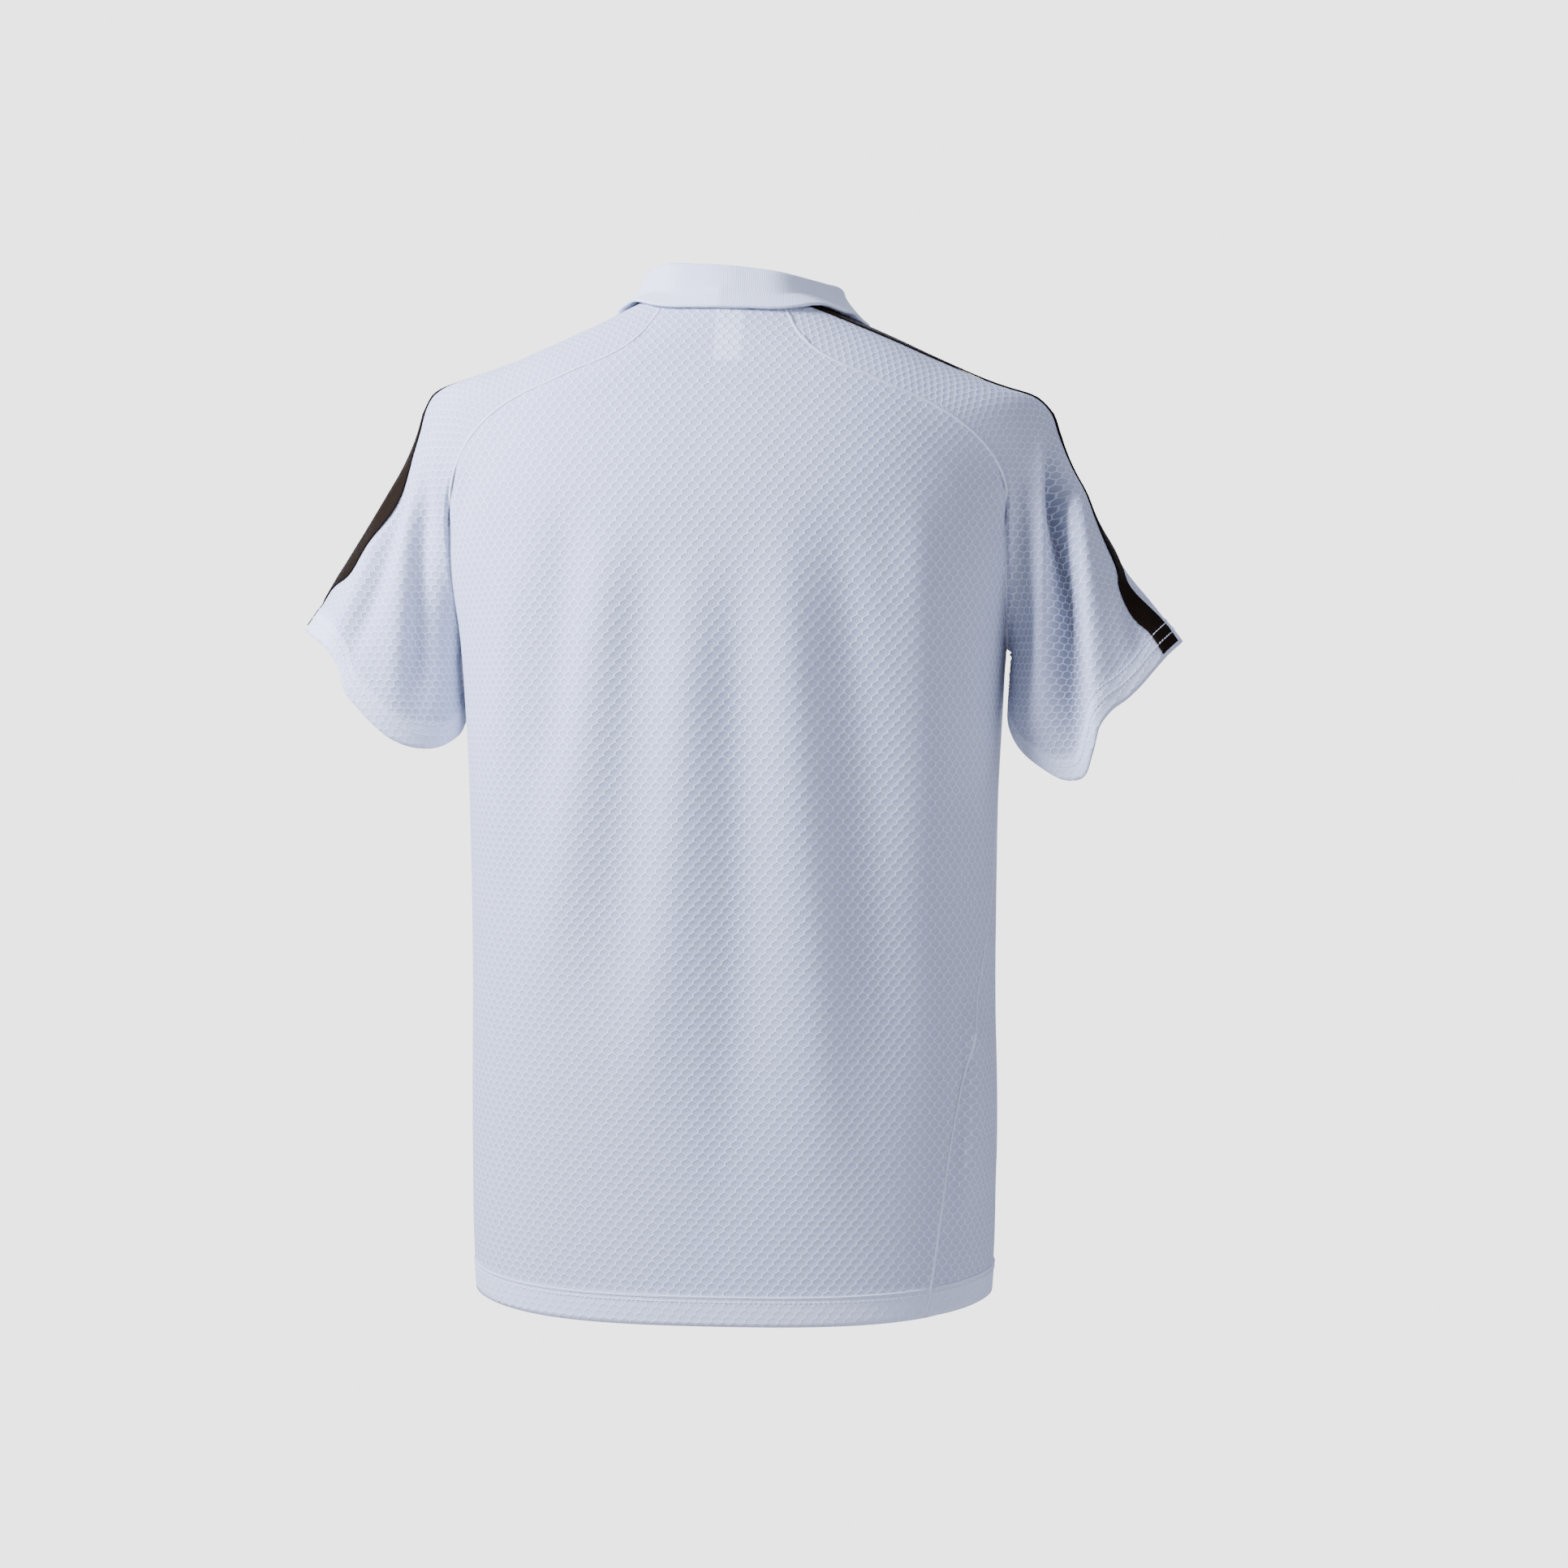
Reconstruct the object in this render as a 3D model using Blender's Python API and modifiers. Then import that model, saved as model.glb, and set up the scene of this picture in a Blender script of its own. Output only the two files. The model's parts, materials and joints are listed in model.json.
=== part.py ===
"""A raglan polo shirt in honeycomb mesh, standing in the round form that it keeps when it is worn.

Units are metres and +Z is up. +X is the wearer's left and the front faces -Y. The origin is on the
shirt's middle line, level with the points where the collar meets the top of the shoulders.

The shirt's form is a field: a number that is negative inside the shirt, zero on its outer face and
positive outside. It joins a trunk, two sleeves and the slope of the shoulders. Every panel is a grid
whose points are found on that face, between seam lines that neighbouring panels share.
"""

import math

import bpy
import numpy as np
from mathutils import Vector

# Cloth
WALL = 0.0015
COLLAR_WALL = 0.0018
TRIM_WALL = 0.0010
PLACKET_WALL = 0.0016
SEAM_GAP = 0.0010
LAID_ON = 0.0004
HEM_DEPTH = 0.020
CUFF_HEM_DEPTH = 0.018
HEM_RAISE = 0.0007
HEM_STEP = 0.003

# Body
HEM_Z = -0.713
HEM_SIDE_RISE = 0.009
BACK_NECK_Z = -0.010
FRONT_NECK_Z = -0.075
TRUNK_POWER = 2.3
TRUNK_SHIFT = 0.003
NECK_SHIFT = -0.005
SHOULDER_CROWN = 2.6
SHOULDER_FILLET = (0.034, 0.012)
SHOULDER_FILLET_ENDS = (0.14, 0.21)
SHOULDER_LEAN = 0.034
LEAN_ENDS = (-0.17, -0.04)
MIDDLE_LINE_ENDS = (-0.30, -0.06)

# Sleeves
SLEEVE_TOP_X = 0.170
SLEEVE_TOP_Z = -0.070
SLEEVE_TILT = math.radians(27)
SLEEVE_POWER = 2.2
SLEEVE_RADIUS = 0.055
SLEEVE_CLEARANCE = 0.0036
UNDERARM_CLEARANCE = 0.0012
ARMHOLE_TOP_Z = -0.150
UNDERARM_BLEND = 0.002

UNDERARM_SEARCH = (-0.270, -0.200)
ARMHOLE_INNERMOST = math.radians(25)
ARMHOLE_POINTS = 40
SEAM_SAMPLES = 600

# Search
HALVINGS = 30
CAST_REACH = 0.32
CAST_STEPS = 65
SETTLING_STEPS = 6
LEAST_SLOPE = 0.05
NEAR = 2e-4

# Trim
BAND_WIDTH = 0.018
PLACKET_WIDTH = 0.032
PLACKET_LENGTH = 0.140
LABEL_WIDTH = 0.019
LABEL_LENGTH = 0.045
BUTTON_RADIUS = 0.0057
BUTTON_THICKNESS = 0.0026
BUTTON_DROPS = (0.022, 0.064, 0.106)
BUTTON_SIDES = 20
BUTTON_RIM = 0.0007

# Grid counts
SIDE_ROWS = 11
RAGLAN_ROWS = 14
FREE_ROWS = 5
PANEL_COLUMNS = 13
SLEEVE_COLUMNS = 12
COLLAR_COLUMNS = 52

LEFT, RIGHT = 1, -1
BACK, FRONT = 1, -1
UP = np.array((0.0, 0.0, 1.0))
INNER_LINE = np.array((0.3, 0.0, 1.0))
DEPTH = np.array((0.0, 1.0, 0.0))


class Table:
    """Rows of sizes under named columns, read as smooth curves of the first column."""

    def __init__(self, columns, *rows):
        self.columns = columns.split()
        self.rows = np.array(rows, float)

    def read(self, name, at):
        knots = self.rows[:, 0]
        values = self.rows[:, self.columns.index(name)]
        at = np.clip(at, knots[0], knots[-1])
        slopes = np.gradient(values, knots)
        i = np.clip(np.searchsorted(knots, at) - 1, 0, len(knots) - 2)
        span = knots[i + 1] - knots[i]
        u = (at - knots[i]) / span
        return (
            (1 + 2 * u) * (1 - u) ** 2 * values[i]
            + u * (1 - u) ** 2 * span * slopes[i]
            + u * u * (3 - 2 * u) * values[i + 1]
            + u * u * (u - 1) * span * slopes[i + 1]
        )


# Half of the trunk's width, and its depth behind and before the middle, at each height.
TRUNK = Table(
    "z half_width back front",
    (-0.714, 0.1860, 0.114, 0.116),
    (-0.680, 0.1885, 0.114, 0.117),
    (-0.600, 0.190, 0.115, 0.119),
    (-0.450, 0.190, 0.119, 0.122),
    (-0.300, 0.194, 0.125, 0.126),
    (-0.235, 0.199, 0.126, 0.125),
    (-0.180, 0.207, 0.125, 0.120),
    (-0.130, 0.210, 0.121, 0.110),
    (-0.060, 0.206, 0.103, 0.090),
    (0.000, 0.200, 0.077, 0.062),
    (0.060, 0.200, 0.062, 0.050),
)

# The top of the shoulder, from the neck out to the sleeve.
RIDGES = {
    LEFT: Table(
        "x z",
        (0.000, 0.028),
        (0.050, 0.010),
        (0.087, -0.0084),
        (0.120, -0.0240),
        (0.150, -0.0375),
        (0.193, -0.0530),
        (0.222, -0.0640),
        (0.300, -0.0950),
    ),
    RIGHT: Table(
        "x z",
        (0.000, 0.028),
        (0.050, 0.012),
        (0.087, -0.0048),
        (0.120, -0.0190),
        (0.150, -0.0326),
        (0.193, -0.0503),
        (0.226, -0.0600),
        (0.300, -0.0900),
    ),
}

# How wide the fillet between trunk and sleeve is: tight at the underarm, wide over the shoulder.
FILLET = Table(
    "z radius",
    (-0.300, 0.0015),
    (-0.235, 0.0015),
    (-0.200, 0.0080),
    (-0.160, 0.018),
    (-0.120, 0.040),
    (-0.050, 0.050),
)

# Each sleeve's reach out, in, back and forward of its straight middle line.
SLEEVES = {
    LEFT: Table(
        "along out inner back front",
        (-0.060, 0.0440, -0.049, 0.052, 0.050),
        (0.016, 0.0430, -0.049, 0.050, 0.050),
        (0.042, 0.0408, -0.049, 0.048, 0.049),
        (0.090, 0.0476, -0.049, 0.047, 0.048),
        (0.157, 0.0540, -0.050, 0.050, 0.050),
        (0.190, 0.0565, -0.065, 0.053, 0.050),
        (0.214, 0.0600, -0.078, 0.055, 0.050),
        (0.290, 0.0690, -0.090, 0.057, 0.050),
    ),
    RIGHT: Table(
        "along out inner back front",
        (-0.060, 0.0500, -0.049, 0.052, 0.050),
        (0.016, 0.0510, -0.049, 0.050, 0.050),
        (0.042, 0.0495, -0.049, 0.048, 0.049),
        (0.090, 0.0432, -0.049, 0.048, 0.048),
        (0.157, 0.0478, -0.050, 0.052, 0.048),
        (0.190, 0.0535, -0.065, 0.057, 0.047),
        (0.214, 0.0580, -0.078, 0.060, 0.046),
        (0.290, 0.0660, -0.090, 0.063, 0.046),
    ),
}

# How far along the middle line each cuff ends, at angles from its outer edge round by the back.
CUFFS = {
    LEFT: Table(
        "turn along",
        (-180, 0.214),
        (-165, 0.206),
        (-140, 0.198),
        (-90, 0.190),
        (-45, 0.194),
        (0, 0.2060),
        (25, 0.2065),
        (44, 0.2080),
        (55, 0.2095),
        (65, 0.2155),
        (76, 0.2275),
        (96, 0.237),
        (132, 0.2450),
        (148, 0.2400),
        (162, 0.2280),
        (180, 0.214),
    ),
    RIGHT: Table(
        "turn along",
        (-180, 0.197),
        (-165, 0.194),
        (-140, 0.193),
        (-90, 0.197),
        (-45, 0.206),
        (0, 0.219),
        (38, 0.226),
        (69, 0.239),
        (98, 0.2490),
        (112, 0.2650),
        (128, 0.2760),
        (140, 0.2610),
        (150, 0.2460),
        (160, 0.2280),
        (168, 0.2120),
        (180, 0.1970),
    ),
}

# How far each band's middle line lies to the back of its sleeve's top, from the neck to the cuff.
BANDS = {
    LEFT: Table(
        "share degrees",
        (0.00, 4),
        (0.25, 7),
        (0.36, 12),
        (0.42, 26),
        (0.48, 38),
        (0.56, 38),
        (0.66, 30),
        (0.80, 14),
        (1.00, -2),
    ),
    RIGHT: Table(
        "share degrees",
        (0.00, 34),
        (0.10, 32),
        (0.20, 27),
        (0.30, 17),
        (0.38, 4),
        (0.45, -3),
        (0.51, 3),
        (0.58, 19),
        (0.66, 33),
        (0.78, 38),
        (0.90, 35),
        (1.00, 31),
    ),
}
CAP_SHARE = 0.62

# A sleeve's rows turn about these points, from the neck (0) to the underarm (1).
SPINE = Table(
    "share x z tilt",
    (0.00, 0.078, -0.070, 0.0),
    (0.25, 0.118, -0.088, 14.0),
    (0.50, 0.150, -0.110, 32.0),
    (0.75, 0.200, -0.155, 52.0),
    (1.00, 0.2412, -0.2082, 63.0),
)

# The raglan seams from the neck down to the armhole.
RAGLAN = {
    BACK: Table(
        "x z",
        (0.0450, -0.0120),
        (0.0532, -0.0252),
        (0.0648, -0.0369),
        (0.0810, -0.0464),
        (0.1000, -0.0540),
        (0.1180, -0.0620),
        (0.1380, -0.0700),
        (0.1590, -0.0813),
        (0.1770, -0.0959),
        (0.1890, -0.1118),
        (0.1960, -0.1290),
    ),
    FRONT: Table(
        "x z",
        (0.0620, -0.0300),
        (0.0780, -0.0480),
        (0.0980, -0.0660),
        (0.1220, -0.0830),
        (0.1480, -0.1000),
        (0.1700, -0.1170),
        (0.1840, -0.1310),
    ),
}

RAGLAN_SHIFT = {LEFT: 0.002, RIGHT: 0.0}

# Where the side seams run, in degrees round from the middle of the back.
SIDE_SEAM = Table(
    "z left right",
    (-0.712, 88.0, 48.0),
    (-0.570, 88.0, 58.0),
    (-0.500, 88.0, 67.0),
    (-0.420, 88.5, 80.0),
    (-0.320, 89.5, 88.0),
    (-0.235, 90.0, 90.0),
)

# The collar round the neck, in degrees from the middle of the back to the front: the heights of the
# roll and of the fall's edge, how far the roll lies inside the neck seam, and the edge outside it.
COLLAR = Table(
    "turn top edge inset flare",
    (0, 0.0240, -0.0080, 0.0100, 0.0045),
    (45, 0.0232, -0.0085, 0.0100, 0.0050),
    (68, 0.0236, -0.0080, 0.0092, 0.0110),
    (90, 0.0240, -0.0060, 0.0080, 0.0130),
    (112, 0.0160, -0.0150, 0.0080, 0.0130),
    (130, 0.0020, -0.0380, 0.0070, 0.0100),
    (144, -0.0200, -0.0660, 0.0060, 0.0120),
    (158, -0.0450, -0.0940, 0.0060, 0.0140),
    (180, -0.0620, -0.1230, 0.0050, 0.0160),
)
COLLAR_TILT_ENDS = (95, 140)
COLLAR_TILT = 0.060
COLLAR_ROLL = 0.0036
COLLAR_REACH = math.radians(179)
COLLAR_SPREAD = math.radians(27)
FALL_BOW = 1.3
STAND_STEPS = (0.0, 0.33, 0.66, 1.0)
ROLL_STEPS = (0.25, 0.50, 0.75)
FALL_STEPS = (0.0, 0.25, 0.50, 0.75, 1.0)
COLLAR_CLEARANCE = 0.0042
COLLAR_FOOT_GAP = 0.0005
NECK_SMOOTHING = math.radians(8)
NECK_SPAN = math.radians(10)

# Folds run from a top point through a middle one to a low one. A height below zero is a trough.
# The two widths are on the side towards the shirt's middle and on the outer side.
FOLD_COLUMNS = "x_top z_top x_mid z_mid x_low z_low inside outside height"
BACK_FOLDS = Table(
    FOLD_COLUMNS,
    (0.146, -0.175, 0.154, -0.277, 0.160, -0.400, 0.014, 0.014, 0.0030),
    (0.071, -0.149, 0.093, -0.310, 0.126, -0.500, 0.015, 0.015, 0.0038),
    (0.016, -0.190, 0.023, -0.332, 0.051, -0.580, 0.014, 0.014, 0.0040),
    (-0.047, -0.150, -0.055, -0.310, -0.075, -0.640, 0.016, 0.014, 0.0042),
    (-0.136, -0.135, -0.142, -0.266, -0.146, -0.430, 0.014, 0.014, 0.0038),
    (0.106, -0.140, 0.112, -0.227, 0.129, -0.360, 0.013, 0.013, -0.0034),
    (0.047, -0.170, 0.062, -0.321, 0.080, -0.500, 0.016, 0.014, -0.0042),
    (-0.013, -0.180, -0.016, -0.349, -0.008, -0.640, 0.014, 0.015, -0.0048),
    (-0.082, -0.150, -0.094, -0.277, -0.118, -0.560, 0.017, 0.015, -0.0052),
    (-0.166, -0.500, -0.172, -0.570, -0.168, -0.650, 0.008, 0.010, 0.0030),
)
FRONT_FOLDS = Table(
    FOLD_COLUMNS,
    (0.122, -0.160, 0.112, -0.290, 0.100, -0.450, 0.015, 0.015, 0.0036),
    (0.066, -0.210, 0.056, -0.350, 0.050, -0.560, 0.015, 0.015, -0.0040),
    (0.028, -0.250, 0.014, -0.390, 0.002, -0.620, 0.014, 0.014, 0.0036),
    (-0.034, -0.240, -0.040, -0.380, -0.046, -0.600, 0.014, 0.014, -0.0044),
    (-0.092, -0.170, -0.090, -0.310, -0.084, -0.520, 0.016, 0.015, 0.0042),
    (-0.140, -0.180, -0.136, -0.290, -0.128, -0.420, 0.014, 0.014, -0.0034),
    (0.160, -0.190, 0.154, -0.300, 0.150, -0.430, 0.013, 0.013, -0.0030),
)
LEFT_SLEEVE_FOLDS = Table(
    FOLD_COLUMNS,
    (0.2170, -0.085, 0.2100, -0.150, 0.2075, -0.215, 0.006, 0.006, 0.0022),
    (0.2200, -0.110, 0.2225, -0.190, 0.2230, -0.300, 0.006, 0.007, -0.0060),
    (0.2330, -0.120, 0.2370, -0.190, 0.2440, -0.290, 0.007, 0.007, 0.0030),
    (0.2330, -0.110, 0.2540, -0.190, 0.2780, -0.262, 0.006, 0.007, -0.0050),
    (0.2560, -0.150, 0.2720, -0.200, 0.2860, -0.236, 0.006, 0.005, 0.0022),
)
RIGHT_SLEEVE_FOLDS = Table(
    FOLD_COLUMNS,
    (0.2060, -0.110, 0.2070, -0.200, 0.2060, -0.290, 0.006, 0.006, -0.0050),
    (0.2200, -0.080, 0.2210, -0.170, 0.2200, -0.280, 0.005, 0.005, 0.0040),
    (0.2270, -0.085, 0.2380, -0.190, 0.2470, -0.310, 0.010, 0.005, -0.0140),
    (0.2400, -0.100, 0.2530, -0.200, 0.2720, -0.300, 0.004, 0.009, 0.0055),
    (0.2760, -0.170, 0.2860, -0.220, 0.2930, -0.262, 0.006, 0.006, -0.0030),
)
FOLDS = (
    (BACK_FOLDS, 0, BACK),
    (FRONT_FOLDS, 0, FRONT),
    (LEFT_SLEEVE_FOLDS, LEFT, BACK),
    (RIGHT_SLEEVE_FOLDS, RIGHT, BACK),
    (RIGHT_SLEEVE_FOLDS, LEFT, FRONT),
    (LEFT_SLEEVE_FOLDS, RIGHT, FRONT),
)
HIDDEN_SLEEVE_FOLD_SHARE = 0.5
FOLD_SPREAD = 0.7
FOLD_FADE = 0.012
FOLD_START = (-0.05, 0.25)
FOLD_END = (0.70, 1.10)


def larger(a, b, fillet):
    """The larger of two numbers, with a rounded change from one to the other."""
    share = np.clip(0.5 + 0.5 * (a - b) / fillet, 0, 1)
    return b + (a - b) * share + fillet * share * (1 - share)


def smaller(a, b, fillet):
    return -larger(-a, -b, fillet)


def ease(low, high, x):
    """0 below low, 1 above high, and a soft step between."""
    u = np.clip((x - low) / (high - low), 0, 1)
    return u * u * (3 - 2 * u)


def mix(a, b, share):
    return a + (b - a) * share


def oval(a, b, half_a, half_b, power):
    """How far a point is outside a rounded oval, along the line from the oval's middle."""
    size = ((np.abs(a) / half_a) ** power + (np.abs(b) / half_b) ** power) ** (1 / power)
    reach = np.hypot(a, b)
    return reach - reach / np.maximum(size, 1e-9)


def point(x, y, z):
    return np.stack(np.broadcast_arrays(x, y, z), axis=-1).astype(float)


def trunk(p):
    z = p[..., 2]
    depth = np.where(p[..., 1] > 0, TRUNK.read("back", z), TRUNK.read("front", z))
    return oval(p[..., 0] - TRUNK_SHIFT, p[..., 1], TRUNK.read("half_width", z), depth, TRUNK_POWER)


def one_sleeve(p, side):
    x = (p[..., 0] - TRUNK_SHIFT) * side - SLEEVE_TOP_X
    z = p[..., 2] - SLEEVE_TOP_Z
    along = x * math.sin(SLEEVE_TILT) - z * math.cos(SLEEVE_TILT)
    out = x * math.cos(SLEEVE_TILT) + z * math.sin(SLEEVE_TILT)
    sizes = SLEEVES[side]
    outer, inner = sizes.read("out", along), sizes.read("inner", along)
    depth = np.where(p[..., 1] > 0, sizes.read("back", along), sizes.read("front", along))
    return oval(out - (outer + inner) / 2, p[..., 1], (outer - inner) / 2, depth, SLEEVE_POWER)


def sleeves(p):
    return np.where(p[..., 0] > TRUNK_SHIFT, one_sleeve(p, LEFT), one_sleeve(p, RIGHT))


def shoulder_slope(p):
    x = p[..., 0] - TRUNK_SHIFT
    ridge = np.where(x > 0, RIDGES[LEFT].read("z", x), RIDGES[RIGHT].read("z", -x))
    return p[..., 2] - ridge + SHOULDER_CROWN * p[..., 1] ** 2


def whole(p):
    """The trunk and the sleeves in one, cut off by the slope of the shoulders."""
    column = smaller(trunk(p), sleeves(p), FILLET.read("radius", p[..., 2]))
    fillet = mix(*SHOULDER_FILLET, ease(*SHOULDER_FILLET_ENDS, np.abs(p[..., 0])))
    return larger(column, shoulder_slope(p), fillet)


def gradient(field, p):
    sides = [field(p + d) - field(p - d) for d in np.eye(3) * NEAR]
    return np.stack(sides, axis=-1) / (2 * NEAR)


def unit(v):
    return v / np.maximum(np.linalg.norm(v, axis=-1, keepdims=True), 1e-12)


def settle(field, p):
    """Moves points that are near the face onto it."""
    for _ in range(SETTLING_STEPS):
        g = gradient(field, p)
        p = p - (field(p) / np.maximum((g * g).sum(-1), LEAST_SLOPE))[..., None] * g
    return p


def cast(field, start, towards):
    """The first point of the face on each line from a point inside."""
    towards = unit(towards)
    t = np.linspace(0, CAST_REACH, CAST_STEPS)
    outside = field(start[..., None, :] + t[:, None] * towards[..., None, :]) > 0
    first = np.maximum(np.argmax(outside, axis=-1), 1)
    low, high = t[first - 1], t[first]
    for _ in range(HALVINGS):
        middle = (low + high) / 2
        out = field(start + middle[..., None] * towards) > 0
        high = np.where(out, middle, high)
        low = np.where(out, low, middle)
    return start + ((low + high) / 2)[..., None] * towards


def fold_height(p):
    """How far the folds lift the cloth at each point."""
    lift = np.zeros(p.shape[:-1])
    z = p[..., 2]
    for table, side, face in FOLDS:
        x = p[..., 0] if side == 0 else p[..., 0] * side
        share = HIDDEN_SLEEVE_FOLD_SHARE if side and face == FRONT else 1
        faces = ease(-FOLD_FADE, FOLD_FADE, p[..., 1] * face) * share
        for x_top, z_top, x_mid, z_mid, x_low, z_low, inside, outside, height in table.rows:
            down = (z_top - z) / (z_top - z_low)
            bend = Table("z x", (z_low, x_low), (z_mid, x_mid), (z_top, x_top))
            off = x - bend.read("x", z)
            beyond = off > 0 if x_mid > 0 else off < 0
            width = np.where(beyond, outside, inside) * (1 + FOLD_SPREAD * np.clip(down, 0, 1))
            ends = ease(*FOLD_START, down) * (1 - ease(*FOLD_END, down))
            lift += faces * height * ends * np.exp(-((off / width) ** 2))
    return lift


def lean(p):
    """The shoulders slope a little to the wearer's right."""
    p = p.copy()
    p[..., 2] += SHOULDER_LEAN * p[..., 0] * ease(*LEAN_ENDS, p[..., 2])
    return p


def finished(field, p, raise_by=0.0, lifted=True):
    """Points of the face with the folds and the lean, moved out by raise_by."""
    p = settle(field, p)
    out = unit(gradient(field, p))
    lift = (fold_height(p) if lifted else 0.0) + raise_by
    return lean(p + out * np.asarray(lift)[..., None])


def evenly(line, count):
    """count + 1 points at even distances along a line of points."""
    run = np.concatenate([[0], np.cumsum(np.linalg.norm(np.diff(line, axis=0), axis=1))])
    at = np.linspace(0, run[-1], count + 1)
    return np.stack([np.interp(at, run, line[:, k]) for k in range(3)], axis=1)


def trunk_ring(turn, z):
    """The trunk's outline at a height, at an angle from the middle of the back."""
    sin, cos = np.sin(turn), np.cos(turn)
    depth = np.where(cos > 0, TRUNK.read("back", z), TRUNK.read("front", z))
    x = TRUNK.read("half_width", z) * np.sign(sin) * np.abs(sin) ** (2 / TRUNK_POWER)
    y = depth * np.sign(cos) * np.abs(cos) ** (2 / TRUNK_POWER)
    return point(x + TRUNK_SHIFT, y, z)


def turn_at(x, z):
    """The angle of the trunk's outline that has this x, from the middle of a panel."""
    share = np.clip((x - TRUNK_SHIFT) / TRUNK.read("half_width", z), -1, 1)
    return np.sign(share) * np.arcsin(np.abs(share) ** (TRUNK_POWER / 2))


def middle_x(z):
    """The panels' middle line, which follows the neck at the top and the trunk below."""
    return mix(TRUNK_SHIFT, NECK_SHIFT, ease(*MIDDLE_LINE_ENDS, z))


def find_underarm():
    """The height at which the sleeve's inner line leaves the trunk's side."""
    low, high = UNDERARM_SEARCH
    for _ in range(HALVINGS):
        z = (low + high) / 2
        inside = one_sleeve(trunk_ring(math.pi / 2, z), LEFT) < 0
        low, high = (low, z) if inside else (z, high)
    return (low + high) / 2


UNDERARM_Z = find_underarm()


def above_underarm(p):
    return ease(UNDERARM_Z - UNDERARM_BLEND, UNDERARM_Z - UNDERARM_BLEND / 10, p[..., 2])


def trunk_field(p):
    return mix(trunk(p), whole(p), above_underarm(p))


def hanging(p, clearance):
    """How far points are outside the sleeves, where these keep clear of the trunk."""
    return larger(sleeves(p), clearance - trunk(p), clearance)


def sleeve_field(p):
    return mix(hanging(p, SLEEVE_CLEARANCE), whole(p), above_underarm(p))


def armhole(side, face):
    """The crease between trunk and sleeve, from the underarm up."""
    z = mix(UNDERARM_Z, ARMHOLE_TOP_Z, np.linspace(0, 1, ARMHOLE_POINTS) ** 2)
    low, high = np.full_like(z, ARMHOLE_INNERMOST), np.full_like(z, math.pi / 2)
    for _ in range(HALVINGS):
        middle = (low + high) / 2
        turn = middle if face == BACK else math.pi - middle
        inside = one_sleeve(trunk_ring(side * turn, z), side) < 0
        high = np.where(inside, middle, high)
        low = np.where(inside, low, middle)
    turn = low if face == BACK else math.pi - low
    return trunk_ring(side * turn, z)


def raglan_seam(side, face):
    """The whole seam from the underarm to the neck, as evenly spaced points."""
    rows = RAGLAN[face].rows[::-1]
    start = point(side * rows[:, 0] + RAGLAN_SHIFT[side], 0, rows[:, 1])
    upper = cast(whole, start, np.broadcast_to(face * DEPTH, start.shape))
    line = np.concatenate([armhole(side, face), upper])
    smooth = Table("i x y z", *[(i, *p) for i, p in enumerate(line)])
    index = np.linspace(0, len(line) - 1, SEAM_SAMPLES)
    return evenly(np.stack([smooth.read(name, index) for name in "xyz"], axis=1), RAGLAN_ROWS)


# The lines that panels share. Each is found once, so that both panels end on it.
SEAMS = {
    (side, face): raglan_seam(side, face) for side in (LEFT, RIGHT) for face in (BACK, FRONT)
}


def hem_height(turn):
    """The hem's edge: level behind and in front, and a little higher at the sides."""
    return HEM_Z + HEM_SIDE_RISE * np.sin(turn) ** 4


def hem_raise(distance, depth):
    """The turned-up hem is a second layer, which lifts the cloth near its edge."""
    return HEM_RAISE * (1 - ease(depth, depth + HEM_STEP, distance))


def pull_back(grid, edges):
    """Shortens a grid at the named edges, square to each edge, which opens the gap at a seam."""
    grid = grid.copy()
    for edge in edges:
        rows = grid if edge.endswith("row") else np.swapaxes(grid, 0, 1)
        at, beside = (0, 1) if edge.startswith("first") else (-1, -2)
        along = unit(np.gradient(rows[at], axis=0))
        inward = rows[beside] - rows[at]
        inward = inward - (inward * along).sum(-1, keepdims=True) * along
        rows[at] += unit(inward) * SEAM_GAP / 2
    return grid


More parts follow.
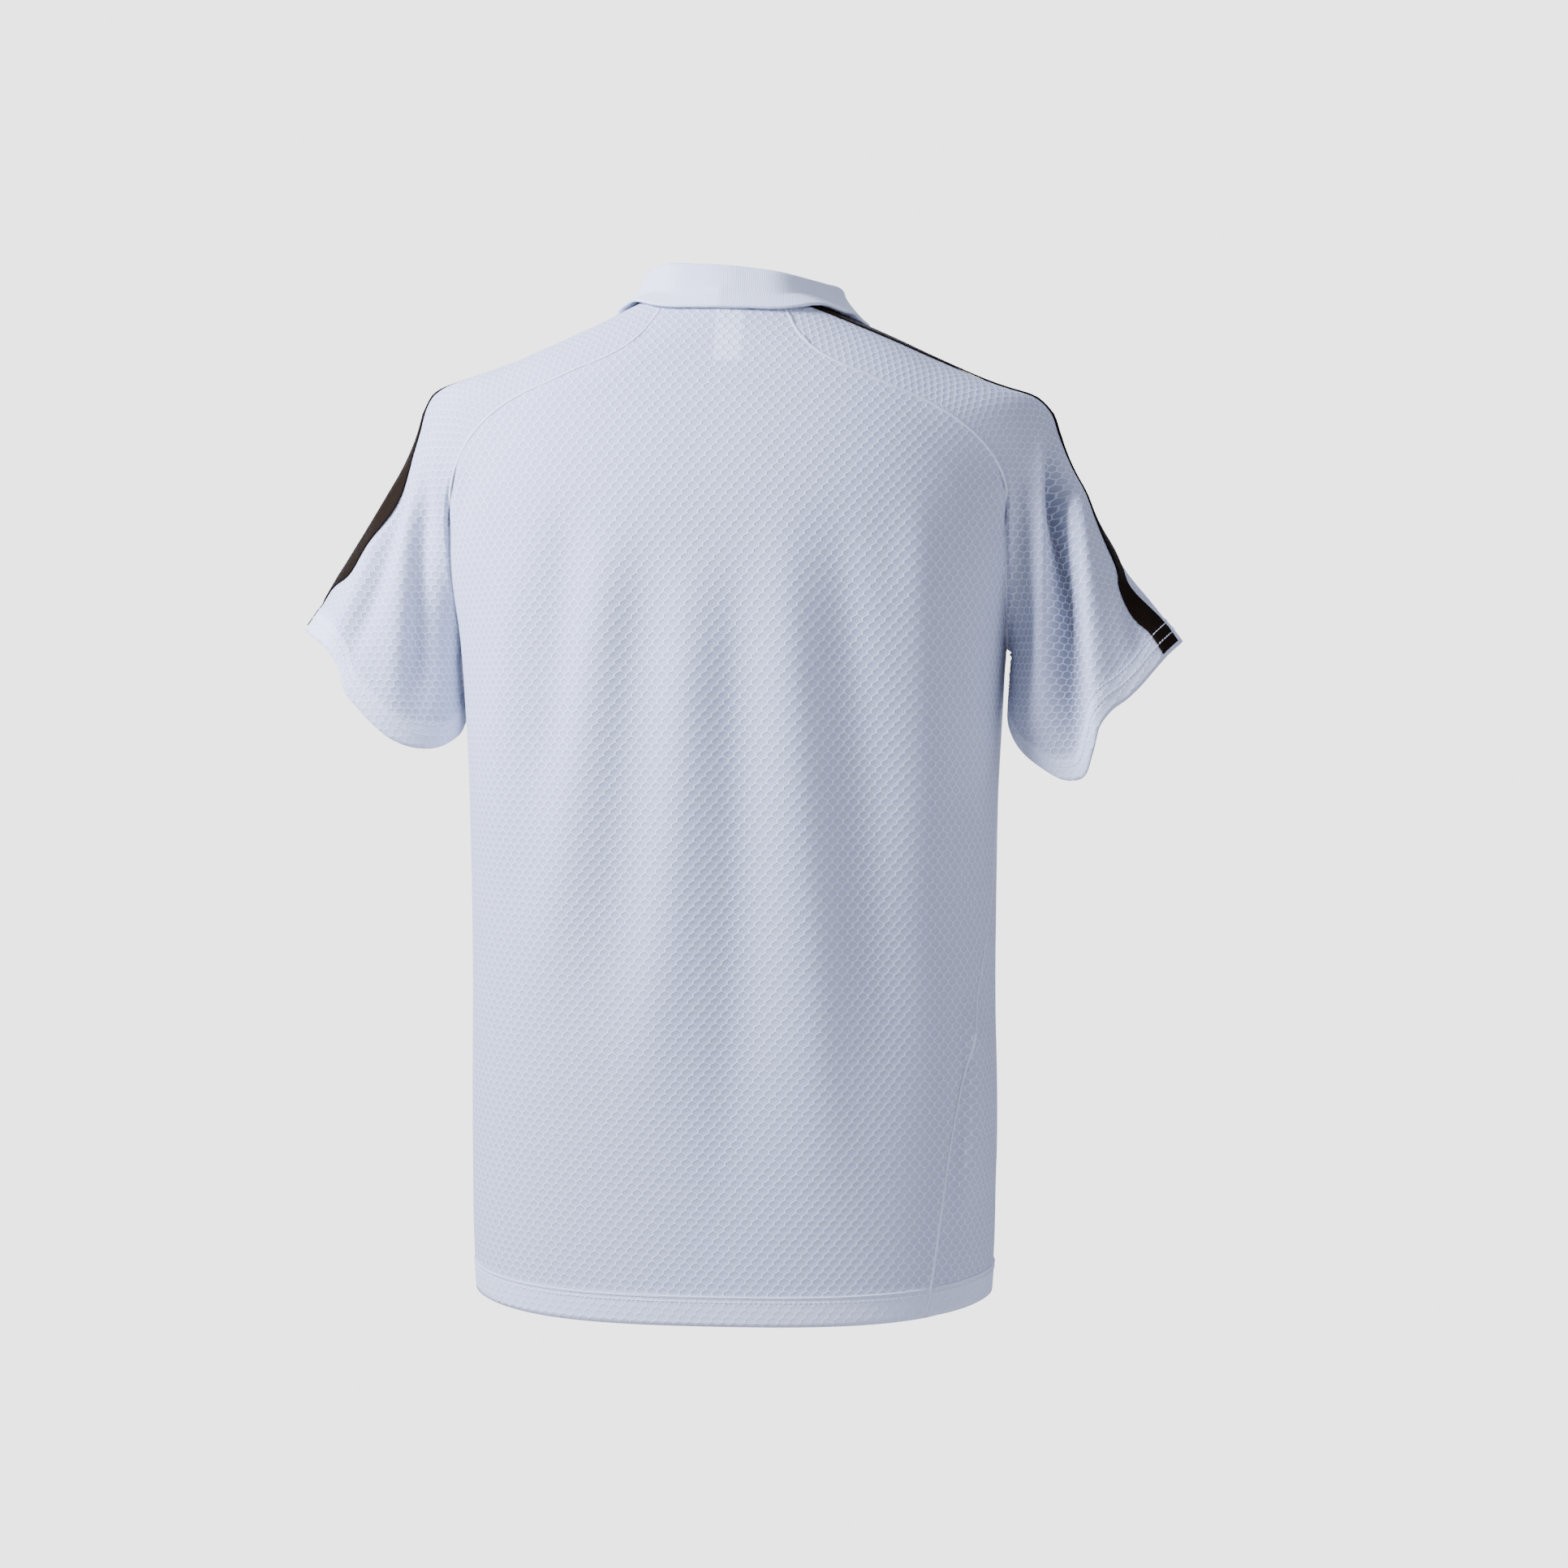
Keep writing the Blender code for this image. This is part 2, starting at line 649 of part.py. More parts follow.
class Panel:
    """The back or the front of the body, as rows from the hem up to the neck."""

    def __init__(self, face):
        self.face = face
        self.strip = (LABEL_WIDTH if face == BACK else PLACKET_WIDTH) / 2
        self.neck_z = BACK_NECK_Z if face == BACK else FRONT_NECK_Z
        self.build()

    @staticmethod
    def side_heights(low):
        """The rows from the hem's edge to the underarm, close together at the hem and the underarm."""
        hem = low + np.array([0, HEM_DEPTH])
        last = UNDERARM_Z - UNDERARM_BLEND
        rest = np.linspace(hem[-1] + HEM_STEP, last, SIDE_ROWS)
        return np.concatenate([hem, rest, [UNDERARM_Z]])

    def side_line(self, side):
        """Height and angle of the panel's edge in each row, and the seam's points above the underarm."""
        seam = SEAMS[side, self.face]
        name = "left" if side == LEFT else "right"
        z = self.side_heights(hem_height(math.radians(SIDE_SEAM.read(name, HEM_Z))))
        turn = np.radians(SIDE_SEAM.read(name, z))
        turn = side * (turn if self.face == BACK else math.pi - turn)
        return (
            np.concatenate([z, seam[1:, 2]]),
            np.concatenate([turn, turn_at(seam[1:, 0], seam[1:, 2])]),
        )

    def middle_line(self):
        top = mix(UNDERARM_Z, self.neck_z, np.linspace(0, 1, RAGLAN_ROWS + 1)[1:])
        return np.concatenate([self.side_heights(HEM_Z), top])

    def build(self):
        """Finds the grid. Its columns run from the wearer's right to the left."""
        middle = self.middle_line()
        middle_turn = turn_at(middle_x(middle), middle)[:, None]
        halves = {}
        share = np.linspace(0, 1, PANEL_COLUMNS + 1)
        for side in (RIGHT, LEFT):
            z_edge, turn_edge = (line[:, None] for line in self.side_line(side))
            strip = turn_at(middle_x(middle) + side * self.strip, middle)[:, None]
            turn = mix(strip, turn_edge, share)
            toward_edge = ((turn - middle_turn) / (turn_edge - middle_turn)) ** 2
            z = mix(middle[:, None], z_edge, toward_edge)
            rise = hem_height(turn) - mix(HEM_Z, hem_height(turn_edge), toward_edge)
            z += rise * np.clip((UNDERARM_Z - z) / (UNDERARM_Z - HEM_Z), 0, 1)
            halves[side] = (turn, z)
        turn = np.hstack([halves[RIGHT][0][:, ::-1], middle_turn, halves[LEFT][0]])
        z = np.hstack([halves[RIGHT][1][:, ::-1], middle[:, None], halves[LEFT][1]])
        aim = trunk_ring(turn, z) if self.face == BACK else trunk_ring(math.pi - turn, z)
        start = aim * INNER_LINE
        base = cast(trunk_field, start, aim - start)
        for side, column in ((RIGHT, 0), (LEFT, -1)):
            base[-RAGLAN_ROWS - 1 :, column] = SEAMS[side, self.face]
        self.neck_edge = base[-1]
        self.grid = finished(trunk_field, base, hem_raise(z - hem_height(turn), HEM_DEPTH))
        self.middle = PANEL_COLUMNS + 1

    def cloth(self):
        return pull_back(self.grid, ("first_column", "last_column", "last_row"))

    def strip_points(self, length):
        """The three middle columns, from the neck down to about the given length."""
        columns = self.grid[:, self.middle - 1 : self.middle + 2]
        z = columns[:, 1, 2]
        first = int(np.argmin(np.abs(z - (z[-1] - length))))
        return columns[first:].copy()


class Sleeve:
    """A raglan sleeve, as rows from the neck to the cuff and columns from back seam to front seam."""

    def __init__(self, side):
        self.side = side
        self.middle = SLEEVE_COLUMNS + 1
        self.build()

    def frame(self, share):
        """The point that a row turns about, and its three directions: out, down the sleeve, back."""
        tilt = np.radians(SPINE.read("tilt", share))
        x = SPINE.read("x", share) * self.side + mix(NECK_SHIFT, TRUNK_SHIFT, ease(0, 0.5, share))
        middle = point(x, 0.0, SPINE.read("z", share))
        out = point(np.sin(tilt) * self.side, 0.0, np.cos(tilt))
        down = point(np.cos(tilt) * self.side, 0.0, -np.sin(tilt))
        return middle, out, down

    def turns(self, share, to_back, to_front, radius):
        """Column angles of each row: an even run to the band, the band, and an even run on."""
        middle = np.radians(BANDS[self.side].read("degrees", share))
        half = BAND_WIDTH / 2 / radius
        run = np.linspace(0, 1, SLEEVE_COLUMNS + 1)
        behind = mix(to_back[:, None], (middle + half)[:, None], run)
        before = mix((middle - half)[:, None], to_front[:, None], run)
        return np.hstack([behind, middle[:, None], before])

    def cap(self):
        """Rows from the neck to the underarm."""
        back = SEAMS[self.side, BACK][::-1]
        front = SEAMS[self.side, FRONT][::-1]
        share = np.linspace(0, 1, RAGLAN_ROWS + 1)
        middle, out, down = self.frame(share)
        ends = []
        for seam in (back, front):
            offset = seam - middle
            turn = np.arctan2((offset * DEPTH).sum(1), (offset * out).sum(1))
            ends.append((turn, (offset * down).sum(1)))
        (turn_back, shift_back), (turn_front, shift_front) = ends
        turn_back[-1], turn_front[-1] = math.pi, -math.pi
        crest = cast(whole, middle, out)
        radius = np.linalg.norm(crest - middle, axis=1)
        turn = self.turns(share * CAP_SHARE, turn_back, turn_front, radius)
        behind = turn > 0
        end_turn = np.where(behind, turn_back[:, None], turn_front[:, None])
        end_shift = np.where(behind, shift_back[:, None], shift_front[:, None])
        share_of_end = (1 - np.cos(turn)) / (1 - np.cos(end_turn))
        start = middle[:, None] + down[:, None] * (end_shift * share_of_end)[..., None]
        towards = np.cos(turn)[..., None] * out[:, None] + np.sin(turn)[..., None] * DEPTH
        base = cast(whole, start, towards)
        base[-1] = cast(lambda p: hanging(p, UNDERARM_CLEARANCE), start[-1], towards[-1])
        base[:, 0], base[:, -1] = back, front
        self.underarm_shift = shift_back[-1]
        return base

    def free(self):
        """Rows from below the underarm to the cuff, as closed rings."""
        top = np.array((SLEEVE_TOP_X * self.side + TRUNK_SHIFT, 0.0, SLEEVE_TOP_Z))
        down = np.array((math.sin(SLEEVE_TILT) * self.side, 0.0, -math.cos(SLEEVE_TILT)))
        out = np.array((math.cos(SLEEVE_TILT) * self.side, 0.0, math.sin(SLEEVE_TILT)))
        middle, _, _ = self.frame(1.0)
        run = np.concatenate([np.linspace(0, 1, FREE_ROWS + 1)[1:], [1, 1]])
        full = np.full_like(run, math.pi)
        share = mix(CAP_SHARE, 1, run)
        turn = self.turns(share, full, -full, np.full_like(run, SLEEVE_RADIUS))
        begin = (middle - top) @ down + self.underarm_shift * (1 - np.cos(turn)) / 2
        end = CUFFS[self.side].read("along", np.degrees(turn))
        along = mix(begin, end - CUFF_HEM_DEPTH - HEM_STEP, run[:, None])
        along[-2:] = end[-2:] - np.array([[CUFF_HEM_DEPTH], [0]])
        sizes = SLEEVES[self.side]
        centre = (sizes.read("out", along) + sizes.read("inner", along)) / 2
        start = top + along[..., None] * down + centre[..., None] * out
        towards = np.cos(turn)[..., None] * out + np.sin(turn)[..., None] * DEPTH
        base = cast(sleeve_field, start, towards)
        base[:, -1] = base[:, 0]
        return base, end - along

    def build(self):
        cap = self.cap()
        free, distance = self.free()
        base = np.vstack([cap, free])
        self.neck_edge = base[0]
        raised = np.zeros(base.shape[:2])
        raised[len(cap) :] = hem_raise(distance, CUFF_HEM_DEPTH)
        self.grid = finished(sleeve_field, base, raised)
        self.joined_from = len(cap)

    def cloth(self):
        grid = self.grid.copy()
        open_rows = grid[: self.joined_from]
        open_rows[:] = pull_back(open_rows, ("first_column", "last_column"))
        open_rows[-1, [0, -1], 0] += self.side * SEAM_GAP
        return pull_back(grid, ("first_row",))

    def band_points(self):
        return self.grid[:, self.middle - 1 : self.middle + 2].copy()


class Collar:
    """A flat-knitted collar: a stand that rises from the neck, a roll, and a fall that turns down."""

    def __init__(self, neck_edges):
        line = np.concatenate(neck_edges)
        turn = np.arctan2(line[:, 0] - NECK_SHIFT, line[:, 1])
        order = np.argsort(turn)
        self.turn, self.line = turn[order], line[order]
        self.build()

    def foot(self, turn):
        """The neck seam at angles from the middle of the back, a little smoothed."""
        near = turn[:, None] + NECK_SMOOTHING * np.linspace(-1, 1, 5)
        reads = [np.interp(near, self.turn, self.line[:, k], period=math.tau) for k in range(3)]
        return np.stack([read.mean(axis=1) for read in reads], axis=1)

    def outward(self, turn):
        """Level directions out of the neck, square to its seam."""
        along = self.foot(turn + NECK_SPAN) - self.foot(turn - NECK_SPAN)
        return unit(np.cross(UP, along))

    def build(self):
        """Finds the visible face, from the stand's foot over the roll to the fall's edge."""
        columns = np.linspace(-1, 1, COLLAR_COLUMNS + 1) * COLLAR_REACH
        rows = [("stand", share, columns) for share in STAND_STEPS]
        rows += [("roll", share, columns) for share in ROLL_STEPS]
        spread = COLLAR_SPREAD / COLLAR_REACH
        rows += [("fall", share, columns * (1 - spread * share)) for share in FALL_STEPS]
        grid = []
        for kind, share, turn in rows:
            foot, out = self.foot(turn), self.outward(turn)
            degrees = np.degrees(np.abs(turn))
            tilt = COLLAR_TILT * (1 - ease(*COLLAR_TILT_ENDS, degrees))
            top = COLLAR.read("top", degrees) + tilt * (foot[:, 0] - NECK_SHIFT)
            inset = COLLAR.read("inset", degrees)
            if kind == "stand":
                bow = math.sin(share * math.pi / 2)
                aside = mix(-COLLAR_WALL - COLLAR_FOOT_GAP, -inset - COLLAR_ROLL, bow)
                height = mix(foot[:, 2] + COLLAR_FOOT_GAP, top - COLLAR_ROLL, share)
            elif kind == "roll":
                aside = -inset - COLLAR_ROLL * math.cos(share * math.pi)
                height = top - COLLAR_ROLL * (1 - math.sin(share * math.pi))
            else:
                aside = mix(COLLAR_ROLL - inset, COLLAR.read("flare", degrees), share**FALL_BOW)
                height = mix(top - COLLAR_ROLL, COLLAR.read("edge", degrees), share)
            place = foot + out * aside[:, None]
            grid.append(point(place[:, 0], place[:, 1], height))
        grid = np.array(grid)
        falling = grid[-len(FALL_STEPS) :]
        for _ in range(SETTLING_STEPS):
            short = np.maximum(COLLAR_CLEARANCE - whole(falling), 0)
            falling += unit(gradient(whole, falling)) * short[..., None]
        self.grid = lean(grid)


def material(name, colour, roughness):
    made = bpy.data.materials.new(name)
    made.use_nodes = True
    shader = made.node_tree.nodes["Principled BSDF"]
    shader.inputs["Base Color"].default_value = (*colour, 1.0)
    shader.inputs["Roughness"].default_value = roughness
    shader.inputs["Metallic"].default_value = 0.0
    made.diffuse_color = (*colour, 1.0)
    return made


def grid_mesh(name, grid, joined_from=None):
    """A mesh of the grid's points. Rows from joined_from on share their first and last point."""
    rows, columns = grid.shape[:2]
    index = np.arange(rows * columns).reshape(rows, columns)
    if joined_from is not None:
        index[joined_from:, -1] = index[joined_from:, 0]
        index[joined_from - 1, -1] = index[joined_from - 1, 0]
    faces = np.stack([index[:-1, :-1], index[:-1, 1:], index[1:, 1:], index[1:, :-1]], axis=-1)
    used, faces = np.unique(faces.reshape(-1, 4), return_inverse=True)
    mesh = bpy.data.meshes.new(name)
    mesh.from_pydata(grid.reshape(-1, 3)[used].tolist(), [], faces.reshape(-1, 4).tolist())
    return mesh


def shell(collection, name, grid, wall, finish, outward=1, joined_from=None):
    """A cloth piece: the grid is its outer face, and the wall goes inward from it."""
    if outward < 0:
        grid = grid[:, ::-1]
    mesh = grid_mesh(name, grid, joined_from)
    mesh.shade_smooth()
    made = bpy.data.objects.new(name, mesh)
    made.data.materials.append(finish)
    collection.objects.link(made)
    solid = made.modifiers.new("wall", "SOLIDIFY")
    solid.thickness = wall
    solid.offset = -1.0
    return made


def strip(collection, name, points, lift, wall, finish, outward):
    """A narrow piece that lies on a panel: the panel's own points, moved out."""
    across, along = np.gradient(points, axis=1), np.gradient(points, axis=0)
    normal = unit(np.cross(across, along)) * outward
    return shell(collection, name, points + normal * lift, wall, finish, outward)


def button(collection, name, place, facing, finish):
    """A flat round button with a soft rim."""
    bpy.ops.mesh.primitive_cylinder_add(
        vertices=BUTTON_SIDES, radius=BUTTON_RADIUS, depth=BUTTON_THICKNESS
    )
    made = bpy.context.object
    made.name = made.data.name = name
    for user in list(made.users_collection):
        user.objects.unlink(made)
    collection.objects.link(made)
    made.data.materials.append(finish)
    made.rotation_mode = "QUATERNION"
    made.rotation_quaternion = facing.to_track_quat("Z", "Y")
    made.location = place + facing * (BUTTON_THICKNESS / 2)
    rim = made.modifiers.new("rim", "BEVEL")
    rim.width = BUTTON_RIM
    rim.segments = 2
    return made


def clear_scene():
    for old in list(bpy.data.objects):
        bpy.data.objects.remove(old, do_unlink=True)


def build_shirt():
    clear_scene()
    shirt = bpy.data.collections.new("polo_shirt")
    bpy.context.scene.collection.children.link(shirt)
    mesh_white = material("mesh_white", (0.80, 0.83, 0.90), 0.80)
    knit_white = material("knit_white", (0.84, 0.87, 0.94), 0.85)
    dark_tape = material("dark_tape", (0.016, 0.012, 0.010), 0.60)
    white_label = material("white_label", (0.88, 0.90, 0.94), 0.60)
    button_white = material("button_white", (0.82, 0.84, 0.88), 0.30)

    back, front = Panel(BACK), Panel(FRONT)
    shell(shirt, "back_panel", back.cloth(), WALL, mesh_white, outward=-1)
    shell(shirt, "front_panel", front.cloth(), WALL, mesh_white, outward=1)

    sleeves_made = {"left": Sleeve(LEFT), "right": Sleeve(RIGHT)}
    for name, sleeve in sleeves_made.items():
        points = pull_back(sleeve.band_points(), ("first_row", "last_row"))
        shell(
            shirt, f"sleeve_{name}", sleeve.cloth(), WALL, mesh_white, sleeve.side, sleeve.joined_from
        )
        strip(shirt, f"band_{name}", points, LAID_ON + TRIM_WALL, TRIM_WALL, dark_tape, sleeve.side)

    collar = Collar([piece.neck_edge for piece in (back, front, *sleeves_made.values())])
    shell(shirt, "collar", collar.grid, COLLAR_WALL, knit_white, outward=1)

    placket = pull_back(front.strip_points(PLACKET_LENGTH), ("last_row",))
    strip(shirt, "placket", placket, LAID_ON + PLACKET_WALL, PLACKET_WALL, knit_white, 1)
    label = pull_back(back.strip_points(LABEL_LENGTH), ("last_row",))
    strip(shirt, "neck_label", label, -WALL - LAID_ON, TRIM_WALL, white_label, -1)

    line = placket[:, 1]
    for number, drop in enumerate(BUTTON_DROPS, start=1):
        z = line[-1, 2] - drop
        x, y = (np.interp(z, line[:, 2], line[:, k]) for k in (0, 1))
        slope = np.interp(z, line[:, 2], np.gradient(line[:, 1], line[:, 2]))
        facing = Vector((0.0, -1.0, slope)).normalized()
        place = Vector((x, y, z)) + facing * (2 * LAID_ON + PLACKET_WALL)
        button(shirt, f"button_{number}", place, facing, button_white)


build_shirt()
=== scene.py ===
"""The looks of a raglan polo shirt in honeycomb mesh, in the round form that it keeps when worn.

Units are metres and +Z is up. +X is the wearer's left and the back faces +Y. The shirt's form is a
field: a number below zero inside the shirt, zero on its outer face and above zero outside it. Each
cloth piece is a grid of points on that face, between seam lines that neighbouring pieces share.
"""

import json
import logging
import math
from collections.abc import Callable, Sequence
from dataclasses import dataclass, field
from enum import Enum

import bpy
import numpy as np
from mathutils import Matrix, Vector

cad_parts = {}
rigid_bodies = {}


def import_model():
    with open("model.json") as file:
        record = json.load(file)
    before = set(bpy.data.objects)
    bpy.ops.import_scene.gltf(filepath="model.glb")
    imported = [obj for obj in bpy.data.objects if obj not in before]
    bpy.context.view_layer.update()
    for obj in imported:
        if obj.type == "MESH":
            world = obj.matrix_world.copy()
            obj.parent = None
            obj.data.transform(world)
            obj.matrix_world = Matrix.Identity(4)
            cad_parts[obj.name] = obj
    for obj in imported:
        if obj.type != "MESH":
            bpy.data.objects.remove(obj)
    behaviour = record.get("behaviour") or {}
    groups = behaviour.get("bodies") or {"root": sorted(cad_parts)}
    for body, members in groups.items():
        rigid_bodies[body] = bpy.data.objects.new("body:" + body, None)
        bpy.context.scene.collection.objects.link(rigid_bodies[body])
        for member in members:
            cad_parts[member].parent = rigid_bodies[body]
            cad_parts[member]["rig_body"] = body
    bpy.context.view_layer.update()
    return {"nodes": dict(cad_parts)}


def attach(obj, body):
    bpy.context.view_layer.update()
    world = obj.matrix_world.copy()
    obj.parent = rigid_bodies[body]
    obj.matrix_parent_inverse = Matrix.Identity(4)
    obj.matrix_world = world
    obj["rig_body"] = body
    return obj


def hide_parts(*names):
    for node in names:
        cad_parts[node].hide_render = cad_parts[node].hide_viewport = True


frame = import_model()

LOG = logging.getLogger("polo_shirt")
Array = np.ndarray
Field = Callable[[Array], Array]
Colour = tuple[float, float, float]


class Side(Enum):
    """A side of the shirt, with the sign of x there."""

    LEFT = 1
    RIGHT = -1


class Face(Enum):
    """The back or the front of the body, with the sign of y there."""

    BACK = 1
    FRONT = -1


def smooth_read(knots: Array, values: Array, at: Array | float) -> Array:
    """Reads a smooth curve through values at knots.

    Between two knots the curve is a cubic. Its slope at a knot is that of the parabola through the
    knot and its two neighbours.

    Args:
        knots: rising positions, one for each row of values.
        values: the sizes at the knots. Further axes are read side by side.
        at: where to read. Positions past either end read the end.

    Returns:
        The sizes at each position.
    """
    at = np.clip(at, knots[0], knots[-1])
    slopes = np.gradient(values, knots, axis=0)
    i = np.clip(np.searchsorted(knots, at) - 1, 0, len(knots) - 2)
    span = knots[i + 1] - knots[i]
    u = (at - knots[i]) / span
    extra = (1,) * (values.ndim - 1)
    u, span = u.reshape(u.shape + extra), span.reshape(span.shape + extra)
    return (
        (1 + 2 * u) * (1 - u) ** 2 * values[i]
        + u * (1 - u) ** 2 * span * slopes[i]
        + u * u * (3 - 2 * u) * values[i + 1]
        + u * u * (u - 1) * span * slopes[i + 1]
    )


class SizeTable:
    """Rows of sizes under named columns, read as smooth curves of the first column."""

    def __init__(self, columns: str, *rows: tuple[float, ...]) -> None:
        """Keeps the rows.

        Args:
            columns: the columns' names, apart by spaces.
            rows: the sizes, in rising order of the first column.
        """
        self.columns = columns.split()
        self.rows = np.array(rows, float)

    def read(self, name: str, at: Array | float) -> Array:
        """Reads one column.

        Args:
            name: the column.
            at: positions along the first column.

        Returns:
            The column's sizes there.
        """
        return smooth_read(self.rows[:, 0], self.rows[:, self.columns.index(name)], at)


# Half of the trunk's width, and its depth behind and before the middle, at each height.
TRUNK = SizeTable(
    "z half_width back front",
    (-0.714, 0.1860, 0.114, 0.116),
    (-0.680, 0.1885, 0.114, 0.117),
    (-0.600, 0.190, 0.115, 0.119),
    (-0.450, 0.190, 0.119, 0.122),
    (-0.300, 0.194, 0.125, 0.126),
    (-0.235, 0.199, 0.126, 0.125),
    (-0.180, 0.207, 0.125, 0.120),
    (-0.130, 0.210, 0.121, 0.110),
    (-0.060, 0.206, 0.103, 0.090),
    (0.000, 0.200, 0.077, 0.062),
    (0.060, 0.200, 0.062, 0.050),
)

# The top of the shoulder, from the neck out to the sleeve.
RIDGES = {
    Side.LEFT: SizeTable(
        "x z",
        (0.000, 0.028),
        (0.050, 0.010),
        (0.087, -0.0084),
        (0.120, -0.0240),
        (0.150, -0.0375),
        (0.193, -0.0530),
        (0.222, -0.0640),
        (0.300, -0.0950),
    ),
    Side.RIGHT: SizeTable(
        "x z",
        (0.000, 0.028),
        (0.050, 0.012),
        (0.087, -0.0048),
        (0.120, -0.0190),
        (0.150, -0.0326),
        (0.193, -0.0503),
        (0.226, -0.0600),
        (0.300, -0.0900),
    ),
}

# How wide the fillet between trunk and sleeve is: tight at the underarm, wide over the shoulder.
FILLET = SizeTable(
    "z radius",
    (-0.300, 0.0015),
    (-0.235, 0.0015),
    (-0.200, 0.0080),
    (-0.160, 0.018),
    (-0.120, 0.040),
    (-0.050, 0.050),
)

# Each sleeve's reach out, in, back and forward of its straight middle line.
SLEEVES = {
    Side.LEFT: SizeTable(
        "along out inner back front",
        (-0.060, 0.0440, -0.049, 0.052, 0.050),
        (0.016, 0.0430, -0.049, 0.050, 0.050),
        (0.042, 0.0408, -0.049, 0.048, 0.049),
        (0.090, 0.0476, -0.049, 0.047, 0.048),
        (0.157, 0.0540, -0.050, 0.050, 0.050),
        (0.190, 0.0565, -0.065, 0.053, 0.050),
        (0.214, 0.0600, -0.078, 0.055, 0.050),
        (0.290, 0.0690, -0.090, 0.057, 0.050),
    ),
    Side.RIGHT: SizeTable(
        "along out inner back front",
        (-0.060, 0.0500, -0.049, 0.052, 0.050),
        (0.016, 0.0510, -0.049, 0.050, 0.050),
        (0.042, 0.0495, -0.049, 0.048, 0.049),
        (0.090, 0.0432, -0.049, 0.048, 0.048),
        (0.157, 0.0478, -0.050, 0.052, 0.048),
        (0.190, 0.0535, -0.065, 0.057, 0.047),
        (0.214, 0.0580, -0.078, 0.060, 0.046),
        (0.290, 0.0660, -0.090, 0.063, 0.046),
    ),
}

# How far along the middle line each cuff ends, at angles from its outer edge round by the back.
CUFFS = {
    Side.LEFT: SizeTable(
        "turn along",
        (-180, 0.214),
        (-165, 0.206),
        (-140, 0.198),
        (-90, 0.190),
        (-45, 0.194),
        (0, 0.2060),
        (25, 0.2065),
        (44, 0.2080),
        (55, 0.2095),
        (65, 0.2155),
        (76, 0.2275),
        (96, 0.237),
        (132, 0.2450),
        (148, 0.2400),
        (162, 0.2280),
        (180, 0.214),
    ),
    Side.RIGHT: SizeTable(
        "turn along",
        (-180, 0.197),
        (-165, 0.194),
        (-140, 0.193),
        (-90, 0.197),
        (-45, 0.206),
        (0, 0.219),
        (38, 0.226),
        (69, 0.239),
        (98, 0.2490),
        (112, 0.2650),
        (128, 0.2760),
        (140, 0.2610),
        (150, 0.2460),
        (160, 0.2280),
        (168, 0.2120),
        (180, 0.1970),
    ),
}

# How far each band's middle line lies to the back of its sleeve's top, from the neck to the cuff.
BANDS = {
    Side.LEFT: SizeTable(
        "share degrees",
        (0.00, 4),
        (0.25, 7),
        (0.36, 11),
        (0.42, 20),
        (0.48, 30),
        (0.56, 33),
        (0.66, 29),
        (0.80, 15),
        (1.00, -2),
    ),
    Side.RIGHT: SizeTable(
        "share degrees",
        (0.00, 34),
        (0.10, 32),
        (0.20, 27),
        (0.30, 17),
        (0.38, 4),
        (0.45, -3),
        (0.51, 3),
        (0.58, 19),
        (0.66, 33),
        (0.78, 38),
        (0.90, 35),
        (1.00, 31),
    ),
}

# A sleeve's rows turn about these points, from the neck (0) to the underarm (1).
SPINE = SizeTable(
    "share x z tilt",
    (0.00, 0.078, -0.070, 0.0),
    (0.25, 0.118, -0.088, 14.0),
    (0.50, 0.150, -0.110, 32.0),
    (0.75, 0.200, -0.155, 52.0),
    (1.00, 0.2412, -0.2082, 63.0),
)

# The raglan seams from the neck down to the armhole.
RAGLAN = {
    Face.BACK: SizeTable(
        "x z",
        (0.0420, -0.0055),
        (0.0532, -0.0252),
        (0.0648, -0.0369),
        (0.0810, -0.0464),
        (0.1000, -0.0540),
        (0.1180, -0.0620),
        (0.1380, -0.0700),
        (0.1590, -0.0813),
        (0.1770, -0.0959),
        (0.1890, -0.1118),
        (0.1960, -0.1290),
    ),
    Face.FRONT: SizeTable(
        "x z",
        (0.0620, -0.0300),
        (0.0780, -0.0480),
        (0.0980, -0.0660),
        (0.1220, -0.0830),
        (0.1480, -0.1000),
        (0.1700, -0.1170),
        (0.1840, -0.1310),
    ),
}
RAGLAN_SHIFT = {Side.LEFT: 0.002, Side.RIGHT: 0.0}

# Where the side seams run, in degrees round from the middle of the back.
SIDE_SEAM = SizeTable(
    "z left right",
    (-0.712, 88.0, 48.0),
    (-0.570, 88.0, 58.0),
    (-0.500, 88.0, 67.0),
    (-0.420, 88.5, 80.0),
    (-0.320, 89.5, 88.0),
    (-0.235, 90.0, 90.0),
)

# The collar round the neck, in degrees from the middle of the back to the front: the heights of the
# roll and of the fall's edge, how far the roll lies inside the neck seam, and the edge outside it.
COLLAR = SizeTable(
    "turn top edge inset flare",
    (0, 0.0240, -0.0100, 0.0100, 0.0045),
    (45, 0.0232, -0.0108, 0.0100, 0.0050),
    (68, 0.0236, -0.0090, 0.0092, 0.0110),
    (90, 0.0240, -0.0060, 0.0080, 0.0130),
    (112, 0.0160, -0.0150, 0.0080, 0.0130),
    (130, 0.0020, -0.0380, 0.0070, 0.0100),
    (144, -0.0200, -0.0660, 0.0060, 0.0120),
    (158, -0.0450, -0.0940, 0.0060, 0.0140),
    (180, -0.0620, -0.1230, 0.0050, 0.0160),
)

